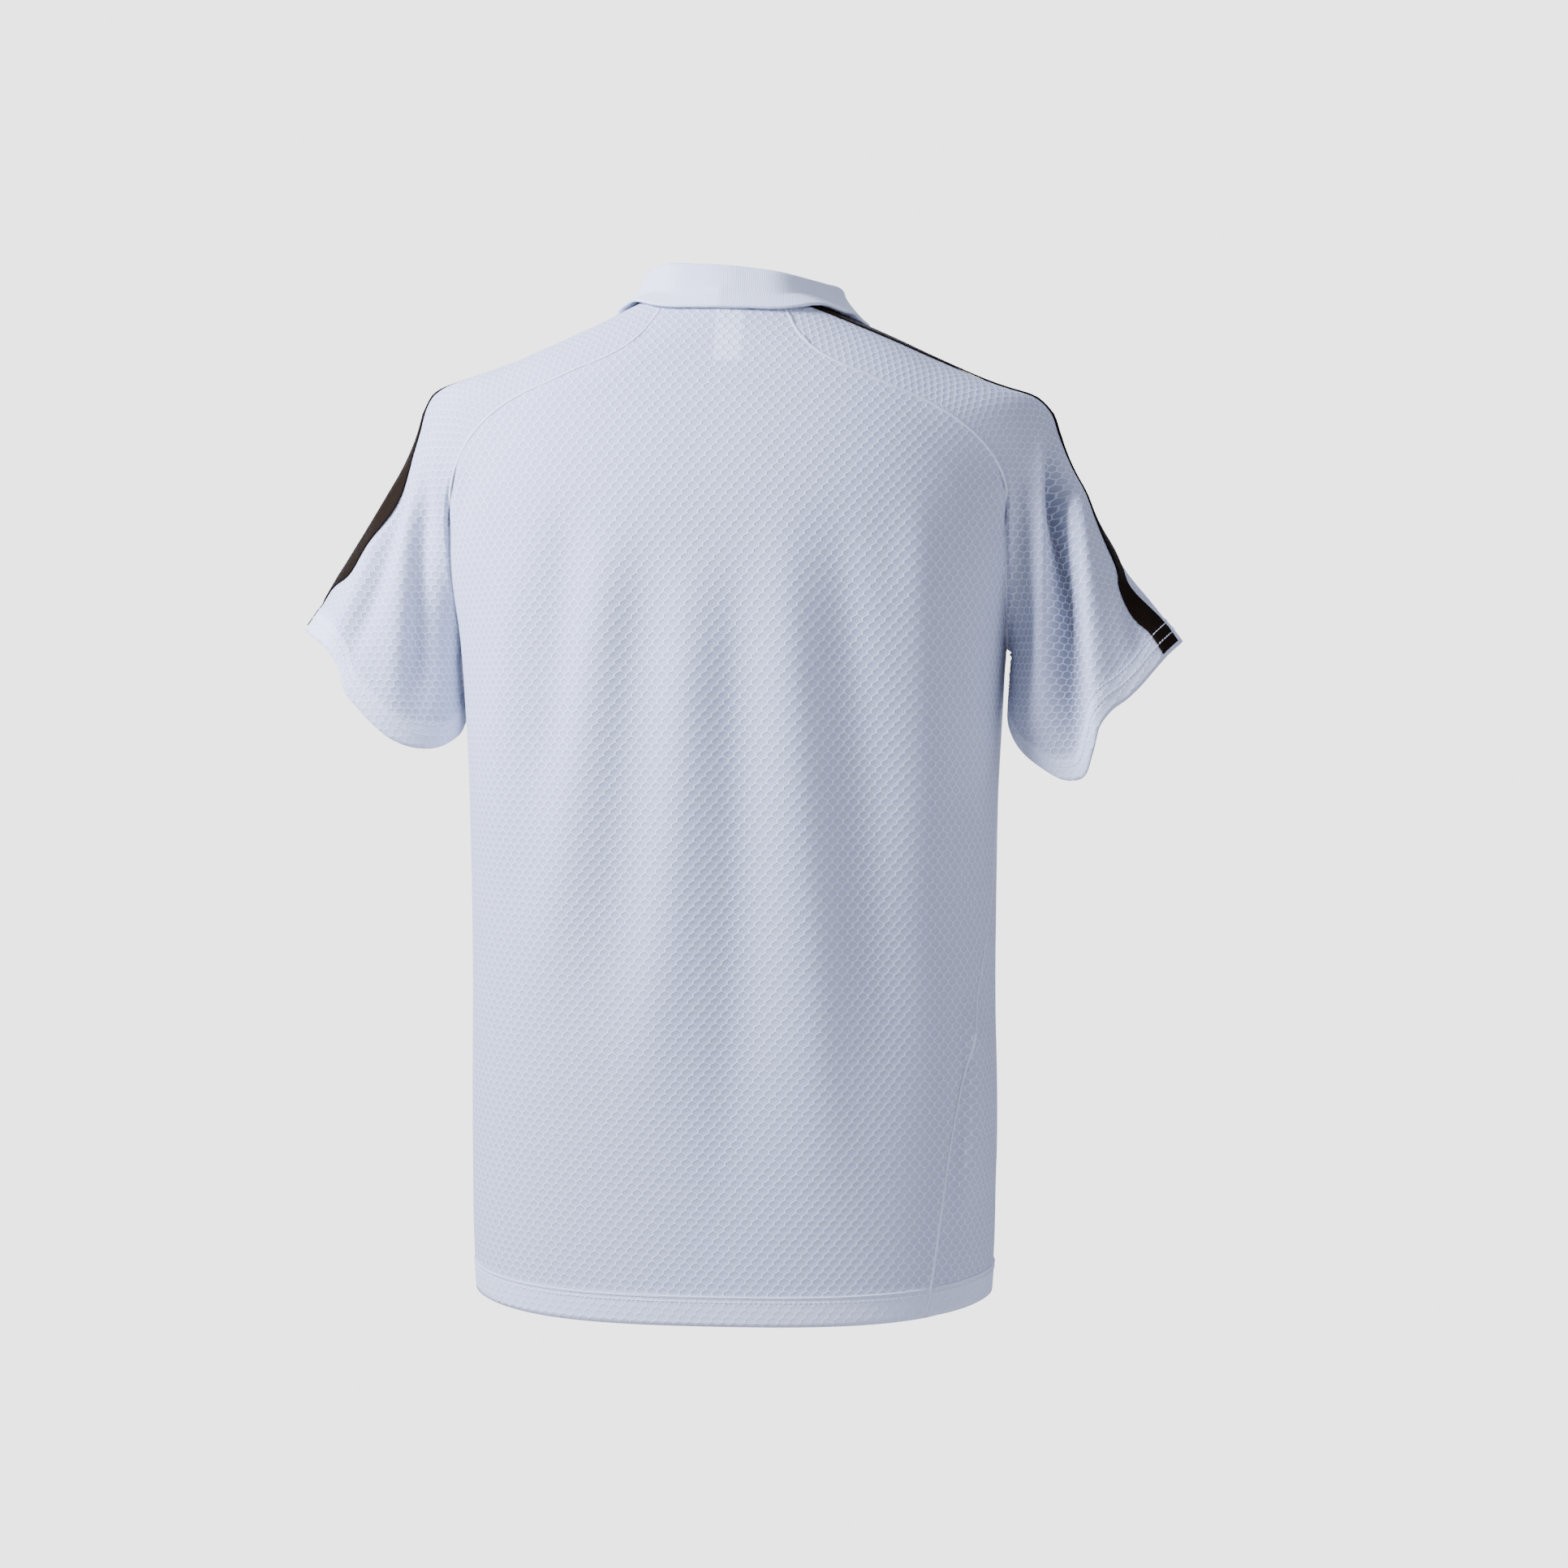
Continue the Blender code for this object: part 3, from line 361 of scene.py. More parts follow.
# Folds run from a top point through a middle one to a low one. A height below zero is a trough.
# The two widths are on the side towards the shirt's middle and on the outer side.
FOLD_COLUMNS = "x_top z_top x_mid z_mid x_low z_low inside outside height"
BACK_FOLDS = SizeTable(
    FOLD_COLUMNS,
    (0.146, -0.175, 0.154, -0.277, 0.160, -0.400, 0.014, 0.014, 0.0030),
    (0.071, -0.149, 0.093, -0.310, 0.126, -0.500, 0.015, 0.015, 0.0038),
    (0.016, -0.190, 0.023, -0.332, 0.051, -0.580, 0.014, 0.014, 0.0040),
    (-0.047, -0.150, -0.055, -0.310, -0.075, -0.640, 0.016, 0.014, 0.0042),
    (-0.136, -0.135, -0.142, -0.266, -0.146, -0.430, 0.014, 0.014, 0.0038),
    (0.106, -0.140, 0.112, -0.227, 0.129, -0.360, 0.013, 0.013, -0.0034),
    (0.047, -0.170, 0.062, -0.321, 0.080, -0.500, 0.016, 0.014, -0.0042),
    (-0.013, -0.180, -0.016, -0.349, -0.008, -0.640, 0.014, 0.015, -0.0048),
    (-0.082, -0.150, -0.094, -0.277, -0.118, -0.560, 0.017, 0.015, -0.0052),
    (-0.170, -0.490, -0.1715, -0.560, -0.166, -0.640, 0.0035, 0.010, 0.0060),
)
FRONT_FOLDS = SizeTable(
    FOLD_COLUMNS,
    (0.122, -0.160, 0.112, -0.290, 0.100, -0.450, 0.015, 0.015, 0.0036),
    (0.066, -0.210, 0.056, -0.350, 0.050, -0.560, 0.015, 0.015, -0.0040),
    (0.028, -0.250, 0.014, -0.390, 0.002, -0.620, 0.014, 0.014, 0.0036),
    (-0.034, -0.240, -0.040, -0.380, -0.046, -0.600, 0.014, 0.014, -0.0044),
    (-0.092, -0.170, -0.090, -0.310, -0.084, -0.520, 0.016, 0.015, 0.0042),
    (-0.140, -0.180, -0.136, -0.290, -0.128, -0.420, 0.014, 0.014, -0.0034),
    (0.160, -0.190, 0.154, -0.300, 0.150, -0.430, 0.013, 0.013, -0.0030),
)
LEFT_SLEEVE_FOLDS = SizeTable(
    FOLD_COLUMNS,
    (0.2170, -0.085, 0.2100, -0.150, 0.2075, -0.215, 0.006, 0.006, 0.0022),
    (0.2200, -0.110, 0.2225, -0.190, 0.2230, -0.300, 0.006, 0.007, -0.0060),
    (0.2330, -0.120, 0.2370, -0.190, 0.2440, -0.290, 0.007, 0.007, 0.0030),
    (0.2330, -0.110, 0.2540, -0.190, 0.2780, -0.262, 0.006, 0.007, -0.0050),
    (0.2560, -0.150, 0.2720, -0.200, 0.2860, -0.236, 0.006, 0.005, 0.0022),
)
RIGHT_SLEEVE_FOLDS = SizeTable(
    FOLD_COLUMNS,
    (0.2060, -0.110, 0.2070, -0.200, 0.2060, -0.290, 0.006, 0.006, -0.0050),
    (0.2215, -0.070, 0.2230, -0.150, 0.2200, -0.290, 0.0045, 0.0030, 0.0065),
    (0.2290, -0.085, 0.2375, -0.190, 0.2420, -0.330, 0.0090, 0.0055, -0.0190),
    (0.2340, -0.090, 0.2485, -0.190, 0.2610, -0.315, 0.0032, 0.0095, 0.0075),
    (0.2760, -0.170, 0.2860, -0.220, 0.2930, -0.262, 0.006, 0.006, -0.0030),
)


@dataclass(frozen=True)
class FoldSet:
    """Folds on one part of the shirt."""

    table: SizeTable
    side: Side | None
    face: Face
    share: float = 1.0


HIDDEN_SHARE = 0.5
FOLDS = (
    FoldSet(BACK_FOLDS, None, Face.BACK),
    FoldSet(FRONT_FOLDS, None, Face.FRONT),
    FoldSet(LEFT_SLEEVE_FOLDS, Side.LEFT, Face.BACK),
    FoldSet(RIGHT_SLEEVE_FOLDS, Side.RIGHT, Face.BACK),
    FoldSet(RIGHT_SLEEVE_FOLDS, Side.LEFT, Face.FRONT, HIDDEN_SHARE),
    FoldSet(LEFT_SLEEVE_FOLDS, Side.RIGHT, Face.FRONT, HIDDEN_SHARE),
)

UP = np.array((0.0, 0.0, 1.0))
DEPTH = np.array((0.0, 1.0, 0.0))
TINY = 1e-9


def ease(low: float, high: float, x: Array | float) -> Array:
    """0 below low, 1 above high, and a soft step of the third degree between."""
    u = np.clip((x - low) / (high - low), 0, 1)
    return u * u * (3 - 2 * u)


def mix(a: Array | float, b: Array | float, share: Array | float) -> Array:
    """The number that lies at a share of the way from a to b."""
    return a + (b - a) * share


def larger(a: Array, b: Array, fillet: Array | float) -> Array:
    """The larger of two numbers, with a rounded change, fillet wide, from one to the other."""
    share = np.clip(0.5 + 0.5 * (a - b) / fillet, 0, 1)
    return b + (a - b) * share + fillet * share * (1 - share)


def smaller(a: Array, b: Array, fillet: Array | float) -> Array:
    """The smaller of two numbers, with a rounded change from one to the other."""
    return -larger(-a, -b, fillet)


def unit(v: Array) -> Array:
    """Arrows of length one in the same directions."""
    return v / np.maximum(np.linalg.norm(v, axis=-1, keepdims=True), TINY)


def point(x: Array | float, y: Array | float, z: Array | float) -> Array:
    """Points of three coordinates, each a number or an array."""
    return np.stack(np.broadcast_arrays(x, y, z), axis=-1).astype(float)


def run_of(line: Array) -> Array:
    """The distance walked from a line's first point to each of its points."""
    steps = np.linalg.norm(np.diff(line, axis=0), axis=-1)
    return np.concatenate([[0.0], np.cumsum(steps)])


def evenly(line: Array, count: int) -> Array:
    """count + 1 points at even distances along a line of points."""
    run = run_of(line)
    at = np.linspace(0, run[-1], count + 1)
    return np.stack([np.interp(at, run, line[:, k]) for k in range(3)], axis=1)


def divided(knots: Array, counts: Array) -> Array:
    """Positions that hit every knot, with counts[i] even steps between knots i and i + 1."""
    spans = [
        np.linspace(low, high, int(count), endpoint=False)
        for low, high, count in zip(knots[:-1], knots[1:], counts)
    ]
    return np.append(np.concatenate(spans), knots[-1])


def oval(a: Array, b: Array, half_a: Array | float, half_b: Array | float, power: float) -> Array:
    """How far a point is outside a rounded oval.

    The oval's edge is where (|a| / half_a) ^ power + (|b| / half_b) ^ power = 1, and the distance is
    taken along the line from the oval's middle.

    Args:
        a: the point's place across the oval.
        b: the point's place along it.
        half_a: the oval's reach across.
        half_b: the oval's reach along.
        power: 2 gives an ellipse, and more a squarer oval.

    Returns:
        The distance, below zero inside.
    """
    size = ((np.abs(a) / half_a) ** power + (np.abs(b) / half_b) ** power) ** (1 / power)
    reach = np.hypot(a, b)
    return reach - reach / np.maximum(size, TINY)


@dataclass(frozen=True)
class ShirtForm:
    """The worn shirt's outer face, as fields, with its folds."""

    trunk_power: float = 2.3
    trunk_shift: float = 0.003
    neck_shift: float = -0.005
    crown: float = 2.6
    fillet: tuple[float, float] = (0.034, 0.012)
    fillet_ends: tuple[float, float] = (0.14, 0.21)
    shoulder_lean: float = 0.034
    lean_ends: tuple[float, float] = (-0.17, -0.04)
    middle_line_ends: tuple[float, float] = (-0.30, -0.06)
    sleeve_top_x: float = 0.170
    sleeve_top_z: float = -0.070
    sleeve_tilt: float = math.radians(27)
    sleeve_power: float = 2.2
    sleeve_clearance: float = 0.0036
    underarm_clearance: float = 0.0012
    underarm_blend: float = 0.002
    underarm_search: tuple[float, float] = (-0.270, -0.200)
    armhole_top_z: float = -0.150
    armhole_innermost: float = math.radians(25)
    armhole_points: int = 40
    seam_samples: int = 600
    fold_spread: float = 0.7
    fold_fade: float = 0.012
    fold_start: tuple[float, float] = (-0.05, 0.25)
    fold_end: tuple[float, float] = (0.70, 1.10)
    halvings: int = 30
    cast_reach: float = 0.32
    cast_steps: int = 65
    near: float = 2e-4
    least_slope: float = 0.05
    longest_step: float = 0.0004
    underarm_z: float = field(init=False)

    def __post_init__(self) -> None:
        """Finds the height at which the sleeve's inner line leaves the trunk's side."""
        low, high = self.underarm_search
        for _ in range(self.halvings):
            z = (low + high) / 2
            inside = self.one_sleeve(self.trunk_ring(math.pi / 2, z), Side.LEFT) < 0
            low, high = (low, z) if inside else (z, high)
        object.__setattr__(self, "underarm_z", (low + high) / 2)

    def trunk(self, p: Array) -> Array:
        """How far points are outside the trunk."""
        z = p[..., 2]
        depth = np.where(p[..., 1] > 0, TRUNK.read("back", z), TRUNK.read("front", z))
        x = p[..., 0] - self.trunk_shift
        return oval(x, p[..., 1], TRUNK.read("half_width", z), depth, self.trunk_power)

    def one_sleeve(self, p: Array, side: Side) -> Array:
        """How far points are outside one sleeve, which is an oval tube round a slanted line.

        Args:
            p: the points.
            side: which sleeve.

        Returns:
            The distances, below zero inside.
        """
        x = (p[..., 0] - self.trunk_shift) * side.value - self.sleeve_top_x
        z = p[..., 2] - self.sleeve_top_z
        along = x * math.sin(self.sleeve_tilt) - z * math.cos(self.sleeve_tilt)
        out = x * math.cos(self.sleeve_tilt) + z * math.sin(self.sleeve_tilt)
        sizes = SLEEVES[side]
        outer, inner = sizes.read("out", along), sizes.read("inner", along)
        depth = np.where(p[..., 1] > 0, sizes.read("back", along), sizes.read("front", along))
        half = (outer - inner) / 2
        return oval(out - (outer + inner) / 2, p[..., 1], half, depth, self.sleeve_power)

    def sleeves(self, p: Array) -> Array:
        """How far points are outside the sleeve on their own side."""
        left = p[..., 0] > self.trunk_shift
        return np.where(left, self.one_sleeve(p, Side.LEFT), self.one_sleeve(p, Side.RIGHT))

    def shoulder_slope(self, p: Array) -> Array:
        """How far points are above the shoulders, whose ridge falls outwards and curves fore and aft."""
        x = p[..., 0] - self.trunk_shift
        left, right = RIDGES[Side.LEFT].read("z", x), RIDGES[Side.RIGHT].read("z", -x)
        return p[..., 2] - np.where(x > 0, left, right) + self.crown * p[..., 1] ** 2

    def whole(self, p: Array) -> Array:
        """Trunk and sleeves in one, with a fillet between, cut off by the slope of the shoulders."""
        column = smaller(self.trunk(p), self.sleeves(p), FILLET.read("radius", p[..., 2]))
        fillet = mix(*self.fillet, ease(*self.fillet_ends, np.abs(p[..., 0])))
        return larger(column, self.shoulder_slope(p), fillet)

    def above_underarm(self, p: Array) -> Array:
        """0 below the underarm and 1 above it, with a short change."""
        low = self.underarm_z - self.underarm_blend
        return ease(low, self.underarm_z - self.underarm_blend / 10, p[..., 2])

    def trunk_field(self, p: Array) -> Array:
        """The field that the back and the front lie on."""
        return mix(self.trunk(p), self.whole(p), self.above_underarm(p))

    def hanging(self, p: Array, clearance: float) -> Array:
        """How far points are outside the sleeves, where these keep clear of the trunk."""
        return larger(self.sleeves(p), clearance - self.trunk(p), clearance)

    def sleeve_field(self, p: Array) -> Array:
        """The field that the sleeves lie on. Below the underarm they hang clear of the trunk."""
        return mix(self.hanging(p, self.sleeve_clearance), self.whole(p), self.above_underarm(p))

    def gradient(self, of: Field, p: Array) -> Array:
        """The slope of a field at points, from its change over a short way each way."""
        sides = [of(p + d) - of(p - d) for d in np.eye(3) * self.near]
        return np.stack(sides, axis=-1) / (2 * self.near)

    def settle(self, of: Field, p: Array, free: Array | float = 1.0, rounds: int = 4) -> Array:
        """Moves points that are near a field's face onto it.

        Each round steps down the field's slope by the field's value, and no further than a limit.

        Args:
            of: the field.
            p: points near its face.
            free: for each point, how freely it moves, from 0 for one that stays.
            rounds: how many steps.

        Returns:
            The points on the face.
        """
        for _ in range(rounds):
            g = self.gradient(of, p)
            step = (of(p) / np.maximum((g * g).sum(-1), self.least_slope))[..., None] * g
            length = np.linalg.norm(step, axis=-1)
            share = free * np.minimum(1, self.longest_step / np.maximum(length, TINY))
            p = p - step * share[..., None]
        return p

    def cast(self, of: Field, start: Array, towards: Array) -> Array:
        """The first point of a field's face on each line from a point inside.

        Even steps find the stretch in which the field changes sign, and halving narrows it.

        Args:
            of: the field.
            start: points inside.
            towards: the lines' directions.

        Returns:
            The points on the face.
        """
        towards = unit(towards)
        t = np.linspace(0, self.cast_reach, self.cast_steps)
        outside = of(start[..., None, :] + t[:, None] * towards[..., None, :]) > 0
        first = np.maximum(np.argmax(outside, axis=-1), 1)
        low, high = t[first - 1], t[first]
        for _ in range(self.halvings):
            middle = (low + high) / 2
            out = of(start + middle[..., None] * towards) > 0
            high = np.where(out, middle, high)
            low = np.where(out, low, middle)
        return start + ((low + high) / 2)[..., None] * towards

    def fold_lift(self, p: Array, folds: Sequence[FoldSet]) -> Array:
        """How far folds lift the cloth at each point.

        A fold's line bends through its three points. Its height falls off to both sides as a bell
        curve, which widens down the fold, and fades in at the top and out at the foot.

        Args:
            p: points of the form.
            folds: the folds.

        Returns:
            The lifts, below zero in a trough.
        """
        lift = np.zeros(p.shape[:-1])
        z = p[..., 2]
        for fold in folds:
            x = p[..., 0] if fold.side is None else p[..., 0] * fold.side.value
            face = ease(-self.fold_fade, self.fold_fade, p[..., 1] * fold.face.value) * fold.share
            for x_top, z_top, x_mid, z_mid, x_low, z_low, inside, outside, height in fold.table.rows:
                down = (z_top - z) / (z_top - z_low)
                bend = SizeTable("z x", (z_low, x_low), (z_mid, x_mid), (z_top, x_top))
                off = x - bend.read("x", z)
                beyond = off > 0 if x_mid > 0 else off < 0
                spread = 1 + self.fold_spread * np.clip(down, 0, 1)
                width = np.where(beyond, outside, inside) * spread
                ends = ease(*self.fold_start, down) * (1 - ease(*self.fold_end, down))
                lift += face * height * ends * np.exp(-((off / width) ** 2))
        return lift

    def lean(self, p: Array) -> Array:
        """Tips the shoulders down a little towards the wearer's right."""
        p = p.copy()
        p[..., 2] += self.shoulder_lean * p[..., 0] * ease(*self.lean_ends, p[..., 2])
        return p

    def trunk_ring(self, turn: Array | float, z: Array | float) -> Array:
        """The trunk's outline, a rounded oval, at angles from the middle of the back.

        Args:
            turn: the angles.
            z: the heights.

        Returns:
            The outline's points.
        """
        sin, cos = np.sin(turn), np.cos(turn)
        depth = np.where(cos > 0, TRUNK.read("back", z), TRUNK.read("front", z))
        x = TRUNK.read("half_width", z) * np.sign(sin) * np.abs(sin) ** (2 / self.trunk_power)
        y = depth * np.sign(cos) * np.abs(cos) ** (2 / self.trunk_power)
        return point(x + self.trunk_shift, y, z)

    def turn_at(self, x: Array | float, z: Array | float) -> Array:
        """The angle of the trunk's outline that has this x, from the middle of a panel."""
        share = np.clip((x - self.trunk_shift) / TRUNK.read("half_width", z), -1, 1)
        return np.sign(share) * np.arcsin(np.abs(share) ** (self.trunk_power / 2))

    def middle_x(self, z: Array | float) -> Array:
        """The panels' middle line, which follows the neck at the top and the trunk below."""
        return mix(self.trunk_shift, self.neck_shift, ease(*self.middle_line_ends, z))

    def armhole(self, side: Side, face: Face) -> Array:
        """The crease between trunk and sleeve, from the underarm up.

        Args:
            side: which sleeve.
            face: back or front.

        Returns:
            A line of points.
        """
        rise = np.linspace(0, 1, self.armhole_points) ** 2
        z = mix(self.underarm_z, self.armhole_top_z, rise)
        low, high = np.full_like(z, self.armhole_innermost), np.full_like(z, math.pi / 2)
        back = face is Face.BACK
        for _ in range(self.halvings):
            middle = (low + high) / 2
            turn = middle if back else math.pi - middle
            inside = self.one_sleeve(self.trunk_ring(side.value * turn, z), side) < 0
            high = np.where(inside, middle, high)
            low = np.where(inside, low, middle)
        return self.trunk_ring(side.value * (low if back else math.pi - low), z)

    def raglan_seam(self, side: Side, face: Face, count: int) -> Array:
        """A raglan seam from the underarm to the neck.

        Args:
            side: which sleeve.
            face: back or front.
            count: how many even steps it has.

        Returns:
            count + 1 points on the whole form.
        """
        rows = RAGLAN[face].rows[::-1]
        start = point(side.value * rows[:, 0] + RAGLAN_SHIFT[side], 0, rows[:, 1])
        ahead = np.broadcast_to(face.value * DEPTH, start.shape)
        line = np.concatenate([self.armhole(side, face), self.cast(self.whole, start, ahead)])
        index = np.arange(len(line), dtype=float)
        fine = smooth_read(index, line, np.linspace(0, index[-1], self.seam_samples))
        return evenly(fine, count)


FORM = ShirtForm()
RAGLAN_ROWS = 14
RAGLAN_STEPS = 8
SEAMS = {
    (side, face): FORM.raglan_seam(side, face, RAGLAN_ROWS * RAGLAN_STEPS)
    for side in Side
    for face in Face
}


def held_near(shape: tuple[int, int], row: int, columns: tuple[int, ...], reach: int = 10) -> Array:
    """How freely each point of a grid may settle: not at all on one row and on some columns.

    It grows with the number of steps from them, as a soft step.

    Args:
        shape: the grid's rows and columns.
        row: the held row.
        columns: the held columns.
        reach: how many steps away points are quite free.

    Returns:
        Shares from 0 to 1.
    """
    rows, across = np.arange(shape[0])[:, None], np.arange(shape[1])
    aside = np.min([np.abs(across - c % shape[1]) for c in columns], axis=0)
    return ease(0, reach, np.abs(rows - row)) * ease(1, reach, aside)


def flatten(grid: Array, rounds: int = 40) -> Array:
    """Lays a grid of points flat with as little stretch as it can.

    Each triangle of the grid is laid flat on its own first, in its true shape. Each round then turns
    these to fit the last layout best, and moves the layout's points so that its edges agree with the
    turned triangles. An edge counts by the cotangents of the angles that face it.

    Args:
        grid: rows and columns of points in space.
        rounds: how many rounds.

    Returns:
        Rows and columns of flat points in metres, the middle column upright.
    """
    rows, columns = grid.shape[:2]
    index = np.arange(rows * columns).reshape(rows, columns)
    a, b, c, d = index[:-1, :-1], index[:-1, 1:], index[1:, 1:], index[1:, :-1]
    halves = [np.stack(corners, axis=-1).reshape(-1, 3) for corners in ((a, b, c), (a, c, d))]
    faces = np.concatenate(halves)
    corner = grid.reshape(-1, 3)[faces]
    first, second = corner[:, 1] - corner[:, 0], corner[:, 2] - corner[:, 0]
    across = unit(first)
    upward = np.cross(unit(np.cross(first, second)), across)
    flat = np.zeros((len(faces), 3, 2))
    flat[:, 1, 0] = (first * across).sum(1)
    flat[:, 2, 0] = (second * across).sum(1)
    flat[:, 2, 1] = (second * upward).sum(1)
    following = [1, 2, 0]
    edge = flat[:, following] - flat
    facing = flat[:, [2, 0, 1]]
    one, other = flat - facing, flat[:, following] - facing
    twist = one[..., 0] * other[..., 1] - one[..., 1] * other[..., 0]
    weight = np.clip((one * other).sum(-1) / np.maximum(np.abs(twist), TINY), 0.05, 20)
    start, end = faces, faces[:, following]
    size = rows * columns
    pulls = np.zeros((size, size))
    for i, j, sign in ((start, start, 1), (end, end, 1), (start, end, -1), (end, start, -1)):
        np.add.at(pulls, (i, j), sign * weight)
    pulls[0, 0] += 1
    answer = np.linalg.inv(pulls)
    middle = columns // 2
    over = np.concatenate([[0.0], np.cumsum(np.linalg.norm(np.diff(grid, axis=1), axis=-1).mean(0))])
    layout = np.stack(np.broadcast_arrays(over, run_of(grid[:, middle])[:, None]), axis=-1)
    layout = layout.reshape(-1, 2).astype(float)
    for _ in range(rounds):
        placed = layout[faces]
        side = placed[:, following] - placed
        u, _, vt = np.linalg.svd(np.einsum("nk,nki,nkj->nij", weight, side, edge))
        u[:, :, 1] *= np.sign(np.linalg.det(u @ vt))[:, None]
        target = np.einsum("nij,nkj->nki", u @ vt, edge) * weight[..., None]
        right = np.zeros((size, 2))
        np.add.at(right, start, -target)
        np.add.at(right, end, target)
        layout = answer @ right
    layout = layout.reshape(rows, columns, 2) - layout.reshape(rows, columns, 2)[0, middle]
    up = layout[-1, middle] / np.linalg.norm(layout[-1, middle])
    return np.stack([layout @ np.array((up[1], -up[0])), layout @ up], axis=-1)


@dataclass
class ClothGrid:
    """A piece of cloth as rows and columns of points, and what is known at each point."""

    points: Array
    flat: Array
    masks: dict[str, Array] = field(default_factory=dict)
    joined_from: int | None = None

    def normals(self) -> Array:
        """Arrows square to the cloth, by the cross product of its two directions."""
        return unit(np.cross(np.gradient(self.points, axis=1), np.gradient(self.points, axis=0)))

    def turned(self) -> "ClothGrid":
        """The same cloth with its columns in the other order, which turns its face round."""
        masks = {name: mask[:, ::-1] for name, mask in self.masks.items()}
        return ClothGrid(self.points[:, ::-1], self.flat[:, ::-1], masks, self.joined_from)

    def object(self, name: str, wall: float, finish: bpy.types.Material) -> bpy.types.Object:
        """Makes the mesh, with its flat layout as UVs in metres and its masks as attributes.

        Rows from joined_from on share their first and last point.

        Args:
            name: the piece's name.
            wall: how thick the cloth is, inwards from the points.
            finish: its material.

        Returns:
            The piece.
        """
        rows, columns = self.points.shape[:2]
        index = np.arange(rows * columns).reshape(rows, columns)
        weld = index.copy()
        if self.joined_from is not None:
            weld[self.joined_from - 1 :, -1] = weld[self.joined_from - 1 :, 0]
        ring = (index[:-1, :-1], index[:-1, 1:], index[1:, 1:], index[1:, :-1])
        corners = np.stack(ring, axis=-1).reshape(-1)
        used, vertices = np.unique(weld.reshape(-1)[corners], return_inverse=True)
        mesh = bpy.data.meshes.new(name)
        mesh.vertices.add(len(used))
        mesh.vertices.foreach_set("co", self.points.reshape(-1, 3)[used].astype(np.float32).ravel())
        mesh.loops.add(len(corners))
        mesh.loops.foreach_set("vertex_index", vertices.astype(np.int32))
        mesh.polygons.add(len(corners) // 4)
        mesh.polygons.foreach_set("loop_start", np.arange(0, len(corners), 4, dtype=np.int32))
        mesh.update(calc_edges=True)
        layer = mesh.uv_layers.new(name="cut")
        layer.uv.foreach_set("vector", self.flat.reshape(-1, 2)[corners].astype(np.float32).ravel())
        for label, mask in self.masks.items():
            attribute = mesh.attributes.new(label, "FLOAT", "POINT")
            attribute.data.foreach_set("value", mask.reshape(-1)[used].astype(np.float32))
        mesh.validate()
        mesh.shade_smooth()
        piece = bpy.data.objects.new(name, mesh)
        bpy.context.scene.collection.objects.link(piece)
        piece.data.materials.append(finish)
        if wall > 0:
            solid = piece.modifiers.new("wall", "SOLIDIFY")
            solid.thickness = wall
            solid.offset = -1.0
        return piece


def refined(values: Array, knots: tuple[Array, Array], at: tuple[Array, Array]) -> Array:
    """Reads a grid of values at finer rows and columns, along smooth curves each way.

    Args:
        values: rows and columns of values, with any further axes.
        knots: the positions of the rows and of the columns.
        at: the finer positions.

    Returns:
        The finer grid.
    """
    tall = smooth_read(knots[0], values, at[0])
    return np.swapaxes(smooth_read(knots[1], np.swapaxes(tall, 0, 1), at[1]), 0, 1)


def joined_mesh(name: str, points: Array, faces: Array, finish: bpy.types.Material) -> bpy.types.Object:
    """One mesh of many like shapes.

    Args:
        name: the piece's name.
        points: for each shape, its points.
        faces: the corners of one shape's faces, -1 where a face has fewer corners.
        finish: its material.

    Returns:
        The piece.
    """
    count, size = points.shape[:2]
    every = np.where(faces < 0, -1, faces + np.arange(count)[:, None, None] * size).reshape(-1, faces.shape[1])
    mesh = bpy.data.meshes.new(name)
    mesh.from_pydata(points.reshape(-1, 3).tolist(), [], [[v for v in face if v >= 0] for face in every.tolist()])
    mesh.validate()
    mesh.shade_smooth()
    piece = bpy.data.objects.new(name, mesh)
    bpy.context.scene.collection.objects.link(piece)
    piece.data.materials.append(finish)
    return piece


def stitch_shape(sides: int = 6) -> tuple[Array, Array]:
    """One stitch: a small round-ended loaf of thread, two long and two across.

    Its rings stand at shares of the length, and each ring is a circle of its own radius.

    Args:
        sides: how many sides the thread has.

    Returns:
        Its points, and the corners of its faces.
    """
    ends = np.array((-1.0, -0.72, 0.72, 1.0))
    radii = np.array((0.30, 1.0, 1.0, 0.30))
    turn = np.arange(sides) * math.tau / sides
    points = point(ends[:, None], radii[:, None] * np.cos(turn), radii[:, None] * np.sin(turn))
    index = np.arange(len(ends) * sides).reshape(len(ends), sides)
    beside = np.roll(index, -1, axis=1)
    walls = np.stack([index[:-1], beside[:-1], beside[1:], index[1:]], axis=-1).reshape(-1, 4)
    faces = np.full((len(walls) + 2, sides), -1)
    faces[: len(walls), :4] = walls
    faces[-2], faces[-1] = index[0][::-1], index[-1]
    return points.reshape(-1, 3), faces


